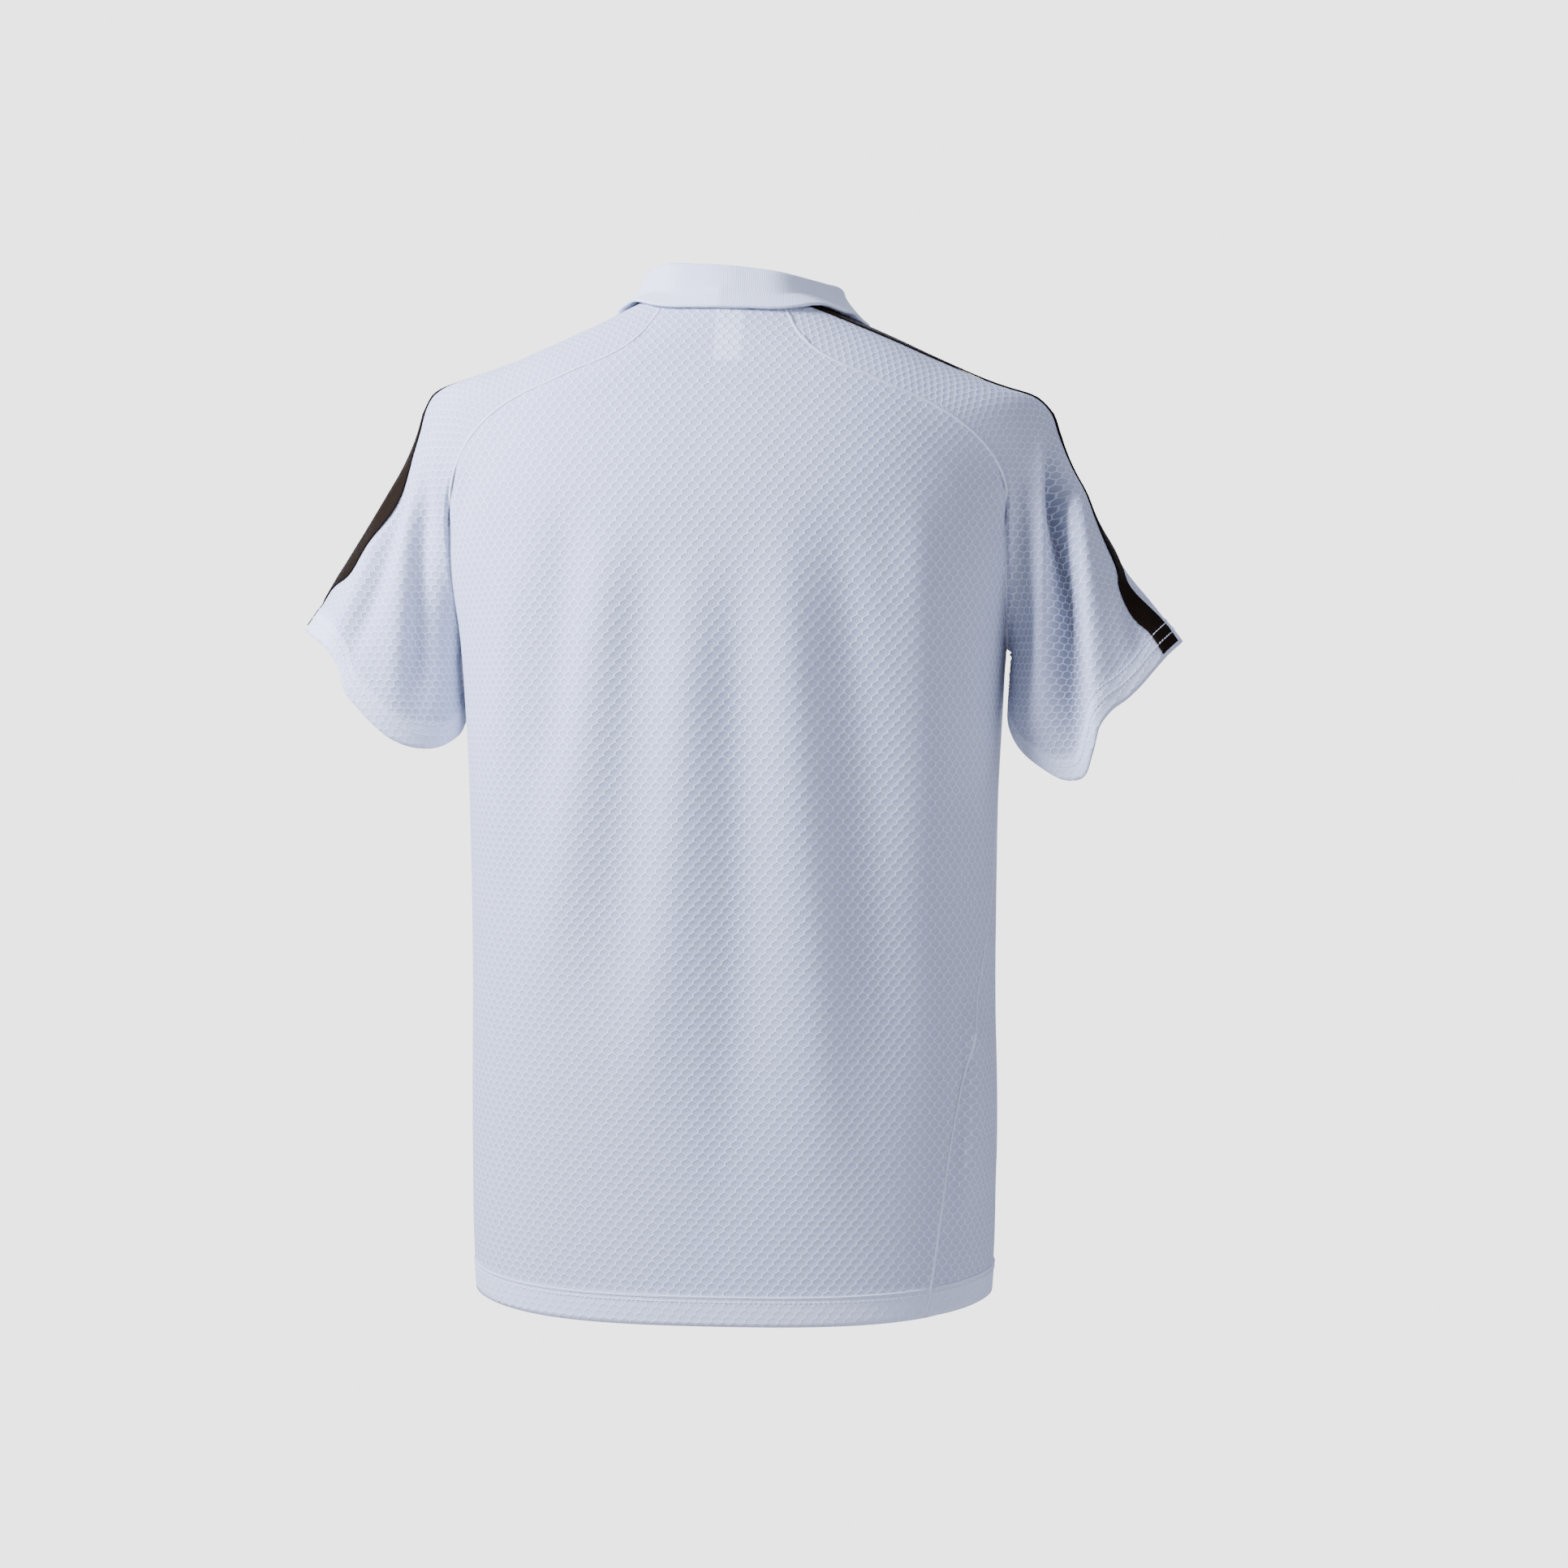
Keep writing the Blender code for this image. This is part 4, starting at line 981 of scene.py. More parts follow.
@dataclass
class StitchRow:
    """A row of stitches along a line on the cloth."""

    name: str
    line: Array
    normals: Array
    pitch: float = 0.0034
    length: float = 0.0025
    width: float = 0.0007
    height: float = 0.0006

    def build(self, finish: bpy.types.Material) -> bpy.types.Object:
        """Places one stitch each pitch, lying along the line.

        Args:
            finish: the thread.

        Returns:
            The piece.
        """
        run = run_of(self.line)
        count = max(int(run[-1] / self.pitch), 2)
        at = (np.arange(count) + 0.5) * run[-1] / count
        centre = np.stack([np.interp(at, run, self.line[:, k]) for k in range(3)], axis=1)
        normal = unit(np.stack([np.interp(at, run, self.normals[:, k]) for k in range(3)], axis=1))
        along = unit(np.gradient(centre, axis=0))
        across = unit(np.cross(normal, along))
        shape, faces = stitch_shape()
        place = (
            centre[:, None]
            + along[:, None] * shape[:, :1] * self.length / 2
            + across[:, None] * shape[:, 1:2] * self.width / 2
            + normal[:, None] * shape[:, 2:] * self.height / 2
        )
        piece = joined_mesh(self.name, place, faces, finish)
        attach(piece, "root")
        return piece


@dataclass
class SeamRidge:
    """The low round ridge that a seam raises, as a closed tube half sunk in the cloth."""

    name: str
    line: Array
    normals: Array
    width: float = 0.0024
    height: float = 0.0006
    sides: int = 10
    taper: float = 0.006

    def build(self, finish: bpy.types.Material) -> bpy.types.Object:
        """Carries an oval along the line. Its size eases in and out at the ends.

        Args:
            finish: its cloth.

        Returns:
            The piece.
        """
        run = run_of(self.line)
        along = unit(np.gradient(self.line, axis=0))
        normal = unit(self.normals - (self.normals * along).sum(-1, keepdims=True) * along)
        across = np.cross(normal, along)
        turn = np.arange(self.sides) * math.tau / self.sides
        size = ease(-0.1 * self.taper, self.taper, run) * ease(-0.1 * self.taper, self.taper, run[-1] - run)
        aside = (across[:, None] * np.cos(turn)[:, None]) * (self.width / 2)
        rise = (normal[:, None] * np.sin(turn)[:, None]) * self.height
        points = self.line[:, None] + (aside + rise) * size[:, None, None]
        index = np.arange(points.shape[0] * self.sides).reshape(-1, self.sides)
        beside = np.roll(index, -1, axis=1)
        walls = np.stack([index[:-1], beside[:-1], beside[1:], index[1:]], axis=-1).reshape(-1, 4)
        faces = np.full((len(walls) + 2, max(self.sides, 4)), -1)
        faces[: len(walls), :4] = walls
        faces[-2, : self.sides], faces[-1, : self.sides] = index[0][::-1], index[-1]
        piece = joined_mesh(self.name, points.reshape(1, -1, 3), faces, finish)
        around = np.concatenate([turn, [math.tau]]) * self.width / 2
        layer = piece.data.uv_layers.new(name="cut")
        corner = np.empty(len(piece.data.loops), np.int32)
        piece.data.loops.foreach_get("vertex_index", corner)
        place = np.stack([around[corner % self.sides], run[corner // self.sides]], axis=-1)
        layer.uv.foreach_set("vector", place.astype(np.float32).ravel())
        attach(piece, "root")
        return piece


@dataclass
class BodyPanel:
    """The back or the front of the body, as rows from the hem up to the neck."""

    face: Face
    strip: float
    neck_z: float
    hem_z: float = -0.713
    hem_side_rise: float = 0.009
    hem_depth: float = 0.020
    hem_raise: float = 0.0007
    hem_step: float = 0.003
    side_rows: int = 11
    columns: int = 8
    column_steps: int = 10
    row_step: float = 0.0031
    inner_line: tuple[float, float, float] = (0.3, 0.0, 1.0)
    label: tuple[float, float] = (0.0095, 0.045)
    wall: float = 0.0015
    # How deep a fold's trough must be for its painted shade to be full.
    full_shade_depth: float = 0.016

    def hem_height(self, turn: Array | float) -> Array:
        """The hem's edge, which rises by a fourth power of the sine towards the sides."""
        return self.hem_z + self.hem_side_rise * np.sin(turn) ** 4

    def side_heights(self, low: float) -> Array:
        """Heights of the rows from the hem's edge to the underarm."""
        hem = low + np.array([0, self.hem_depth])
        rest = np.linspace(hem[-1] + self.hem_step, FORM.underarm_z - FORM.underarm_blend, self.side_rows)
        return np.concatenate([hem, rest, [FORM.underarm_z]])

    def side_line(self, side: Side) -> tuple[Array, Array]:
        """The panel's edge on one side.

        Args:
            side: which side.

        Returns:
            Each row's height there, and its angle from the panel's middle.
        """
        seam = SEAMS[side, self.face][::RAGLAN_STEPS]
        name = side.name.lower()
        z = self.side_heights(self.hem_height(math.radians(SIDE_SEAM.read(name, self.hem_z))))
        turn = np.radians(SIDE_SEAM.read(name, z))
        turn = side.value * (turn if self.face is Face.BACK else math.pi - turn)
        upper = FORM.turn_at(seam[1:, 0], seam[1:, 2])
        return np.concatenate([z, seam[1:, 2]]), np.concatenate([turn, upper])

    def layout(self) -> tuple[Array, Array]:
        """Aims a coarse grid at the form, its columns from the wearer's right to the left.

        Heights go from the middle line's to the edge's with the square of the way out, and the rows
        near the hem follow it.

        Returns:
            The grid's points, and their angles.
        """
        top = mix(FORM.underarm_z, self.neck_z, np.linspace(0, 1, RAGLAN_ROWS + 1)[1:])
        middle = np.concatenate([self.side_heights(self.hem_z), top])
        middle_turn = FORM.turn_at(FORM.middle_x(middle), middle)[:, None]
        share = np.linspace(0, 1, self.columns + 1)
        halves = {}
        for side in Side:
            z_edge, turn_edge = (line[:, None] for line in self.side_line(side))
            strip = FORM.turn_at(FORM.middle_x(middle) + side.value * self.strip, middle)[:, None]
            turn = mix(strip, turn_edge, share)
            toward_edge = ((turn - middle_turn) / (turn_edge - middle_turn)) ** 2
            z = mix(middle[:, None], z_edge, toward_edge)
            rise = self.hem_height(turn) - mix(self.hem_z, self.hem_height(turn_edge), toward_edge)
            z += rise * np.clip((FORM.underarm_z - z) / (FORM.underarm_z - self.hem_z), 0, 1)
            halves[side] = (turn, z)
        (left_turn, left_z), (right_turn, right_z) = halves[Side.LEFT], halves[Side.RIGHT]
        turn = np.hstack([right_turn[:, ::-1], middle_turn, left_turn])
        z = np.hstack([right_z[:, ::-1], middle[:, None], left_z])
        aim = FORM.trunk_ring(turn if self.face is Face.BACK else math.pi - turn, z)
        start = aim * np.array(self.inner_line)
        base = FORM.cast(FORM.trunk_field, start, aim - start)
        for side, column in ((Side.RIGHT, 0), (Side.LEFT, -1)):
            base[-RAGLAN_ROWS - 1 :, column] = SEAMS[side, self.face][::RAGLAN_STEPS]
        return base, turn

    def build(self) -> ClothGrid:
        """Refines the coarse grid onto the form, and adds hem and folds.

        Returns:
            The panel's cloth.
        """
        base, turn = self.layout()
        flat = flatten(FORM.settle(FORM.trunk_field, base))
        middle = base.shape[1] // 2
        rows = run_of(base[:, middle])
        knots = (rows, np.arange(base.shape[1], dtype=float))
        counts = np.maximum(np.round(np.diff(rows) / self.row_step), 1)
        counts[-RAGLAN_ROWS:] = RAGLAN_STEPS
        at = (divided(rows, counts), divided(knots[1], np.full(base.shape[1] - 1, self.column_steps)))
        fine = refined(base, knots, at)
        fine_turn = refined(turn, knots, at)
        last = RAGLAN_ROWS * RAGLAN_STEPS + 1
        fine[-last:, 0] = SEAMS[Side.RIGHT, self.face]
        fine[-last:, -1] = SEAMS[Side.LEFT, self.face]
        distance = fine[..., 2] - self.hem_height(fine_turn)
        hem = 1 - ease(self.hem_depth - self.hem_step / 2, self.hem_depth + self.hem_step / 2, distance)
        free = held_near(fine.shape[:2], len(fine) - last, (0, -1))
        settled = FORM.settle(FORM.trunk_field, fine, free)
        out = unit(FORM.gradient(FORM.trunk_field, settled))
        lift = FORM.fold_lift(settled, FOLDS)
        self.settled = settled
        self.neck_edge = settled[-1]
        self.hem_distance = distance
        self.middle = (len(knots[1]) // 2) * self.column_steps
        points = FORM.lean(settled + out * (lift + self.hem_raise * hem)[..., None])
        aside = np.abs(settled[..., 0] - FORM.middle_x(settled[..., 2]))
        half, length = self.label
        backed = np.zeros_like(aside)
        if self.face is Face.BACK:
            low = self.neck_z - length
            backed = (1 - ease(half - 0.0008, half + 0.0008, aside)) * ease(low, low + 0.002, settled[..., 2])
        # The depth of each fold trough, as a share, masks the painted shade on the cells.
        masks = {"doubled": hem, "trough_shade": np.clip(-lift / self.full_shade_depth, 0, 1), "backed": backed}
        self.grid = ClothGrid(points, refined(flat, knots, at), masks)
        return self.grid

    def strip_grid(self, length: float, lift: float) -> ClothGrid:
        """The panel's own points either side of its middle line, moved out.

        Args:
            length: how far down from the neck.
            lift: how far out.

        Returns:
            The strip's cloth.
        """
        columns = slice(self.middle - self.column_steps, self.middle + self.column_steps + 1)
        z = self.grid.points[:, self.middle, 2]
        first = int(np.argmin(np.abs(z - (z[-1] - length))))
        normal = self.grid.normals() * -self.face.value
        points = self.grid.points + normal * lift
        flat = self.grid.flat[first:, columns]
        return ClothGrid(points[first:, columns].copy(), flat - flat[-1, self.column_steps])


@dataclass
class RaglanSleeve:
    """A raglan sleeve, as rows from the neck to the cuff and columns from back seam to front seam."""

    side: Side
    columns: int = 12
    column_steps: int = 7
    free_rows: int = 5
    row_step: float = 0.0029
    cap_share: float = 0.62
    band_width: float = 0.018
    radius: float = 0.055
    hem_depth: float = 0.018
    hem_step: float = 0.003
    hem_raise: float = 0.0007
    wall: float = 0.0015
    # How deep a fold's trough must be for its painted shade to be full.
    full_shade_depth: float = 0.014

    def frame(self, share: Array | float) -> tuple[Array, Array, Array]:
        """What a row turns about.

        Args:
            share: how far down the cap, from 0 at the neck to 1 at the underarm.

        Returns:
            The point, the direction out of the shoulder and the direction down the sleeve.
        """
        tilt = np.radians(SPINE.read("tilt", share))
        x = SPINE.read("x", share) * self.side.value
        x = x + mix(FORM.neck_shift, FORM.trunk_shift, ease(0, 0.5, share))
        out = point(np.sin(tilt) * self.side.value, 0.0, np.cos(tilt))
        down = point(np.cos(tilt) * self.side.value, 0.0, -np.sin(tilt))
        return point(x, 0.0, SPINE.read("z", share)), out, down

    def turns(self, share: Array, to_back: Array, to_front: Array, radius: Array) -> Array:
        """Column angles of each row: an even run to the band, the band, and an even run on.

        Args:
            share: how far each row is down the sleeve.
            to_back: the angle at the back seam.
            to_front: the angle at the front seam.
            radius: the sleeve's radius at the band.

        Returns:
            Rows of angles.
        """
        middle = np.radians(BANDS[self.side].read("degrees", share))
        half = self.band_width / 2 / radius
        run = np.linspace(0, 1, self.columns + 1)
        behind = mix(to_back[:, None], (middle + half)[:, None], run)
        before = mix((middle - half)[:, None], to_front[:, None], run)
        return np.hstack([behind, middle[:, None], before])

    def cap(self) -> Array:
        """Rows from the neck to the underarm, each cast out round its own point of the spine."""
        seams = [SEAMS[self.side, face][::-RAGLAN_STEPS] for face in (Face.BACK, Face.FRONT)]
        share = np.linspace(0, 1, RAGLAN_ROWS + 1)
        middle, out, down = self.frame(share)
        ends = []
        for seam in seams:
            offset = seam - middle
            turn = np.arctan2((offset * DEPTH).sum(1), (offset * out).sum(1))
            ends.append((turn, (offset * down).sum(1)))
        (turn_back, shift_back), (turn_front, shift_front) = ends
        turn_back[-1], turn_front[-1] = math.pi, -math.pi
        radius = np.linalg.norm(FORM.cast(FORM.whole, middle, out) - middle, axis=1)
        turn = self.turns(share * self.cap_share, turn_back, turn_front, radius)
        behind = turn > 0
        end_turn = np.where(behind, turn_back[:, None], turn_front[:, None])
        end_shift = np.where(behind, shift_back[:, None], shift_front[:, None])
        share_of_end = (1 - np.cos(turn)) / (1 - np.cos(end_turn))
        start = middle[:, None] + down[:, None] * (end_shift * share_of_end)[..., None]
        towards = np.cos(turn)[..., None] * out[:, None] + np.sin(turn)[..., None] * DEPTH
        base = FORM.cast(FORM.whole, start, towards)
        base[-1] = FORM.cast(lambda p: FORM.hanging(p, FORM.underarm_clearance), start[-1], towards[-1])
        base[:, 0], base[:, -1] = seams
        self.underarm_shift = shift_back[-1]
        return base

    def free(self) -> tuple[Array, Array]:
        """Rows from below the underarm to the cuff, as closed rings.

        Returns:
            The points, and how far each is from the cuff's edge.
        """
        lean, sign = FORM.sleeve_tilt, self.side.value
        top = np.array((FORM.sleeve_top_x * sign + FORM.trunk_shift, 0.0, FORM.sleeve_top_z))
        down = np.array((math.sin(lean) * sign, 0.0, -math.cos(lean)))
        out = np.array((math.cos(lean) * sign, 0.0, math.sin(lean)))
        middle, _, _ = self.frame(1.0)
        run = np.concatenate([np.linspace(0, 1, self.free_rows + 1)[1:], [1, 1]])
        full = np.full_like(run, math.pi)
        turn = self.turns(mix(self.cap_share, 1, run), full, -full, np.full_like(run, self.radius))
        begin = (middle - top) @ down + self.underarm_shift * (1 - np.cos(turn)) / 2
        end = CUFFS[self.side].read("along", np.degrees(turn))
        along = mix(begin, end - self.hem_depth - self.hem_step, run[:, None])
        along[-2:] = end[-2:] - np.array([[self.hem_depth], [0]])
        sizes = SLEEVES[self.side]
        centre = (sizes.read("out", along) + sizes.read("inner", along)) / 2
        start = top + along[..., None] * down + centre[..., None] * out
        towards = np.cos(turn)[..., None] * out + np.sin(turn)[..., None] * DEPTH
        base = FORM.cast(FORM.sleeve_field, start, towards)
        base[:, -1] = base[:, 0]
        return base, end - along

    def build(self) -> ClothGrid:
        """Refines the coarse grid onto the form, and adds hem and folds.

        Returns:
            The sleeve's cloth.
        """
        cap = self.cap()
        free, distance = self.free()
        base = np.vstack([cap, free])
        flat = flatten(FORM.settle(FORM.sleeve_field, base))
        rows = run_of(base[:, base.shape[1] // 2])
        across = np.linalg.norm(np.diff(base, axis=1), axis=-1).mean(0)
        knots = (rows, np.concatenate([[0.0], np.cumsum(across)]))
        counts = np.maximum(np.round(np.diff(rows) / self.row_step), 1)
        counts[:RAGLAN_ROWS] = RAGLAN_STEPS
        at = (divided(rows, counts), divided(knots[1], np.full(len(across), self.column_steps)))
        fine = refined(base, knots, at)
        join = RAGLAN_ROWS * RAGLAN_STEPS + 1
        fine[:join, 0] = SEAMS[self.side, Face.BACK][::-1]
        fine[:join, -1] = SEAMS[self.side, Face.FRONT][::-1]
        fine[join:, -1] = fine[join:, 0]
        far = np.full(cap.shape[:2], distance.max() * 2)
        reach = np.minimum(np.vstack([far, distance]), 0.05)
        fine_reach = refined(reach, knots, at)
        hem = 1 - ease(self.hem_depth - self.hem_step / 2, self.hem_depth + self.hem_step / 2, fine_reach)
        settled = FORM.settle(FORM.sleeve_field, fine, held_near(fine.shape[:2], join, (0, -1)))
        out = unit(FORM.gradient(FORM.sleeve_field, settled))
        lift = FORM.fold_lift(settled, FOLDS)
        self.settled = settled
        self.neck_edge = settled[0]
        self.cuff_reach = fine_reach
        self.middle = (len(knots[1]) // 2) * self.column_steps
        points = FORM.lean(settled + out * (lift + self.hem_raise * hem)[..., None])
        points[join - 1 :, -1] = points[join - 1 :, 0]
        # Painted shade mask: the depth of each fold trough, as a share.
        trough_shade = np.clip(-lift / self.full_shade_depth, 0, 1)
        masks = {"doubled": hem, "trough_shade": trough_shade, "backed": np.zeros_like(lift)}
        self.grid = ClothGrid(points, refined(flat, knots, at), masks, joined_from=join)
        return self.grid

    def band_grid(self, lift: float) -> ClothGrid:
        """The sleeve's own points under the band, moved out.

        Args:
            lift: how far out.

        Returns:
            The band's cloth.
        """
        columns = slice(self.middle - self.column_steps, self.middle + self.column_steps + 1)
        normal = self.grid.normals() * self.side.value
        points = (self.grid.points + normal * lift)[2:-1, columns].copy()
        across = np.linspace(-0.5, 0.5, points.shape[1]) * self.band_width
        flat = np.stack(np.broadcast_arrays(across, run_of(points[:, self.column_steps])[:, None]), axis=-1)
        return ClothGrid(points, flat)


@dataclass
class KnitCollar:
    """A flat-knitted collar: a stand that rises from the neck, a roll, and a fall that turns down."""

    columns: int = 300
    reach: float = math.radians(179)
    spread: float = math.radians(27)
    tilt: float = 0.060
    tilt_ends: tuple[float, float] = (95, 140)
    roll: float = 0.0036
    fall_bow: float = 1.3
    clearance: float = 0.0042
    foot_gap: float = 0.0005
    smoothing: float = math.radians(8)
    span: float = math.radians(10)
    wall: float = 0.0018
    stand_steps: int = 8
    roll_steps: int = 10
    fall_steps: int = 18
    pushes: int = 6
    crease_turns: tuple[float, float] = (math.radians(-44), math.radians(-72))
    crease_share: float = 0.3
    crease_width: float = math.radians(4)
    crease_height: float = 0.0016

    def foot(self, turn: Array) -> Array:
        """The neck seam at angles from the middle of the back, a little smoothed."""
        near = turn[:, None] + self.smoothing * np.linspace(-1, 1, 5)
        reads = [np.interp(near, self.turn, self.line[:, k], period=math.tau) for k in range(3)]
        return np.stack([read.mean(axis=1) for read in reads], axis=1)

    def outward(self, turn: Array) -> Array:
        """Level directions out of the neck, square to its seam."""
        return unit(np.cross(UP, self.foot(turn + self.span) - self.foot(turn - self.span)))

    def row(self, kind: str, share: float, turn: Array) -> Array:
        """One row of the visible face.

        The stand leans inwards with the sine of the way up, the roll is half a circle, and the fall
        moves out with a power of the way down.

        Args:
            kind: stand, roll or fall.
            share: how far along that part.
            turn: the columns' angles.

        Returns:
            The row's points.
        """
        foot, out = self.foot(turn), self.outward(turn)
        degrees = np.degrees(np.abs(turn))
        tilt = self.tilt * (1 - ease(*self.tilt_ends, degrees))
        top = COLLAR.read("top", degrees) + tilt * (foot[:, 0] - FORM.neck_shift)
        inset = COLLAR.read("inset", degrees)
        if kind == "stand":
            bow = math.sin(share * math.pi / 2)
            aside = mix(-self.wall - self.foot_gap, -inset - self.roll, bow)
            height = mix(foot[:, 2] + self.foot_gap, top - self.roll, share)
        elif kind == "roll":
            aside = -inset - self.roll * math.cos(share * math.pi)
            height = top - self.roll * (1 - math.sin(share * math.pi))
        else:
            aside = mix(self.roll - inset, COLLAR.read("flare", degrees), share**self.fall_bow)
            height = mix(top - self.roll, COLLAR.read("edge", degrees), share)
        place = foot + out * aside[:, None]
        return point(place[:, 0], place[:, 1], height)

    def build(self, neck_edges: Sequence[Array]) -> ClothGrid:
        """Finds the visible face, from the stand's foot over the roll to the fall's edge.

        Args:
            neck_edges: the body's and the sleeves' edges at the neck.

        Returns:
            The collar's cloth.
        """
        line = np.concatenate(neck_edges)
        turn = np.arctan2(line[:, 0] - FORM.neck_shift, line[:, 1])
        order = np.argsort(turn)
        self.turn, self.line = turn[order], line[order]
        columns = np.linspace(-1, 1, self.columns + 1) * self.reach
        parts = [("stand", share) for share in np.linspace(0, 1, self.stand_steps + 1)]
        parts += [("roll", share) for share in np.linspace(0, 1, self.roll_steps + 1)[1:-1]]
        parts += [("fall", share) for share in np.linspace(0, 1, self.fall_steps + 1)]
        narrow = self.spread / self.reach
        shrink = [1 - narrow * share if kind == "fall" else 1.0 for kind, share in parts]
        grid = np.array([self.row(kind, share, columns * k) for (kind, share), k in zip(parts, shrink)])
        falling = grid[-self.fall_steps - 1 :]
        for _ in range(self.pushes):
            short = np.maximum(self.clearance - FORM.whole(falling), 0)
            falling += unit(FORM.gradient(FORM.whole, falling)) * short[..., None]
        share = np.linspace(0, 1, self.fall_steps + 1)[:, None]
        slant = mix(*self.crease_turns, np.clip((share - self.crease_share) / (1 - self.crease_share), 0, 1))
        turn = (columns * (1 - narrow * share) - slant) / self.crease_width
        crease = np.exp(-(turn**2)) * ease(0.15, 0.6, share) * self.crease_height
        falling += unit(FORM.gradient(FORM.whole, falling)) * crease[..., None]
        points = FORM.lean(grid)
        middle = points[:, self.columns // 2]
        around = run_of(points[-1])
        flat = np.stack(
            np.broadcast_arrays(around - around[self.columns // 2], run_of(middle)[:, None]), axis=-1
        )
        self.grid = ClothGrid(points, flat)
        return self.grid


class NodeGraph:
    """A short hand for placing and joining the nodes of one tree."""

    def __init__(self, tree: bpy.types.NodeTree) -> None:
        """Takes the tree over."""
        self.tree = tree

    def add(self, kind: str, **settings: object) -> bpy.types.Node:
        """Places a node and sets its properties."""
        node = self.tree.nodes.new(kind)
        for name, value in settings.items():
            setattr(node, name, value)
        return node

    def put(self, socket: bpy.types.NodeSocket, value: object) -> None:
        """Joins a socket to another one, or sets its own number or colour."""
        if isinstance(value, bpy.types.NodeSocket):
            self.tree.links.new(value, socket)
        else:
            socket.default_value = value

    def math(self, operation: str, *values: object) -> bpy.types.NodeSocket:
        """The result of a sum on numbers."""
        node = self.add("ShaderNodeMath", operation=operation)
        for socket, value in zip(node.inputs, values):
            self.put(socket, value)
        return node.outputs[0]

    def blend(self, share: object, a: object, b: object) -> bpy.types.NodeSocket:
        """A colour at a share of the way from a to b."""
        node = self.add("ShaderNodeMix", data_type="RGBA")
        self.put(node.inputs[0], share)
        self.put(node.inputs[6], a)
        self.put(node.inputs[7], b)
        return node.outputs[2]

    def spread(self, value: object, low: float, high: float, to: tuple[float, float] = (0.0, 1.0)) -> bpy.types.NodeSocket:
        """A number eased from low..high to the range in to."""
        node = self.add("ShaderNodeMapRange", interpolation_type="SMOOTHSTEP")
        for socket, item in zip(node.inputs, (value, low, high, *to)):
            self.put(socket, item)
        return node.outputs[0]

    def attribute(self, name: str) -> bpy.types.NodeSocket:
        """A mask that the mesh carries."""
        return self.add("ShaderNodeAttribute", attribute_name=name).outputs["Fac"]


def group_tree(name: str, takes: dict[str, object], gives: dict[str, str]) -> tuple[NodeGraph, dict, bpy.types.Node]:
    """Starts a shader node group.

    Args:
        name: the group's name.
        takes: input names, with a kind, or a number that is its value at first.
        gives: output names, with a kind.

    Returns:
        The graph, its input sockets by name, and the output node.
    """
    tree = bpy.data.node_groups.new(name, "ShaderNodeTree")
    for label, value in takes.items():
        kind = value if isinstance(value, str) else "NodeSocketFloat"
        socket = tree.interface.new_socket(name=label, in_out="INPUT", socket_type=kind)
        if not isinstance(value, str):
            socket.default_value = value
    for label, kind in gives.items():
        tree.interface.new_socket(name=label, in_out="OUTPUT", socket_type=kind)
    graph = NodeGraph(tree)
    entry, leave = graph.add("NodeGroupInput"), graph.add("NodeGroupOutput")
    return graph, {socket.name: socket for socket in entry.outputs if socket.name}, leave


def honeycomb_group() -> bpy.types.NodeTree:
    """Staggered cells: rows of ovals, every second row moved on by half a pitch.

    Two square lattices, half a cell apart both ways, cover the cloth. In each the distance to the
    middle of the cell is a mix of a six-sided and a four-sided one, and the nearer lattice counts.

    Returns:
        The group. Rim is 1 on the raised net between cells and 0 in a cell.
    """
    takes = {"Place": "NodeSocketVector", "Pitch": 0.0076, "Row": 0.00445, "Net Width": 0.11, "Pointed": 0.6}
    graph, given, leave = group_tree("honeycomb", takes, {"Rim": "NodeSocketFloat", "Height": "NodeSocketFloat"})
    split = graph.add("ShaderNodeSeparateXYZ")
    graph.put(split.inputs[0], given["Place"])
    u = graph.math("DIVIDE", split.outputs[0], given["Pitch"])
    v = graph.math("DIVIDE", split.outputs[1], graph.math("MULTIPLY", given["Row"], 2.0))
    near = []
    for shift in (0.0, 0.5):
        a = graph.math("FRACT", graph.math("ADD", u, shift))
        b = graph.math("FRACT", graph.math("ADD", v, shift))
        a = graph.math("ABSOLUTE", graph.math("SUBTRACT", a, 0.5))
        b = graph.math("ABSOLUTE", graph.math("SUBTRACT", b, 0.5))
        four = graph.math("ADD", a, b)
        slant = graph.math("ADD", graph.math("MULTIPLY", a, 0.5), graph.math("MULTIPLY", b, 1.5))
        six = graph.math("MAXIMUM", a, slant)
        mixed = graph.add("ShaderNodeMix", data_type="FLOAT")
        for socket, value in zip(mixed.inputs[:1] + mixed.inputs[2:4], (given["Pointed"], six, four)):
            graph.put(socket, value)
        near.append(mixed.outputs[0])
    reach = graph.math("MINIMUM", *near)
    low = graph.math("SUBTRACT", 0.5, given["Net Width"])
    rim = graph.add("ShaderNodeMapRange", interpolation_type="SMOOTHSTEP")
    for socket, value in zip(rim.inputs, (reach, low, 0.47, 0.0, 1.0)):
        graph.put(socket, value)
    bowl = graph.spread(reach, 0.0, 0.45)
    height = graph.math("ADD", graph.math("MULTIPLY", rim.outputs[0], 0.6), graph.math("MULTIPLY", bowl, 0.4))
    graph.put(leave.inputs["Rim"], rim.outputs[0])
    graph.put(leave.inputs["Height"], height)
    return graph.tree


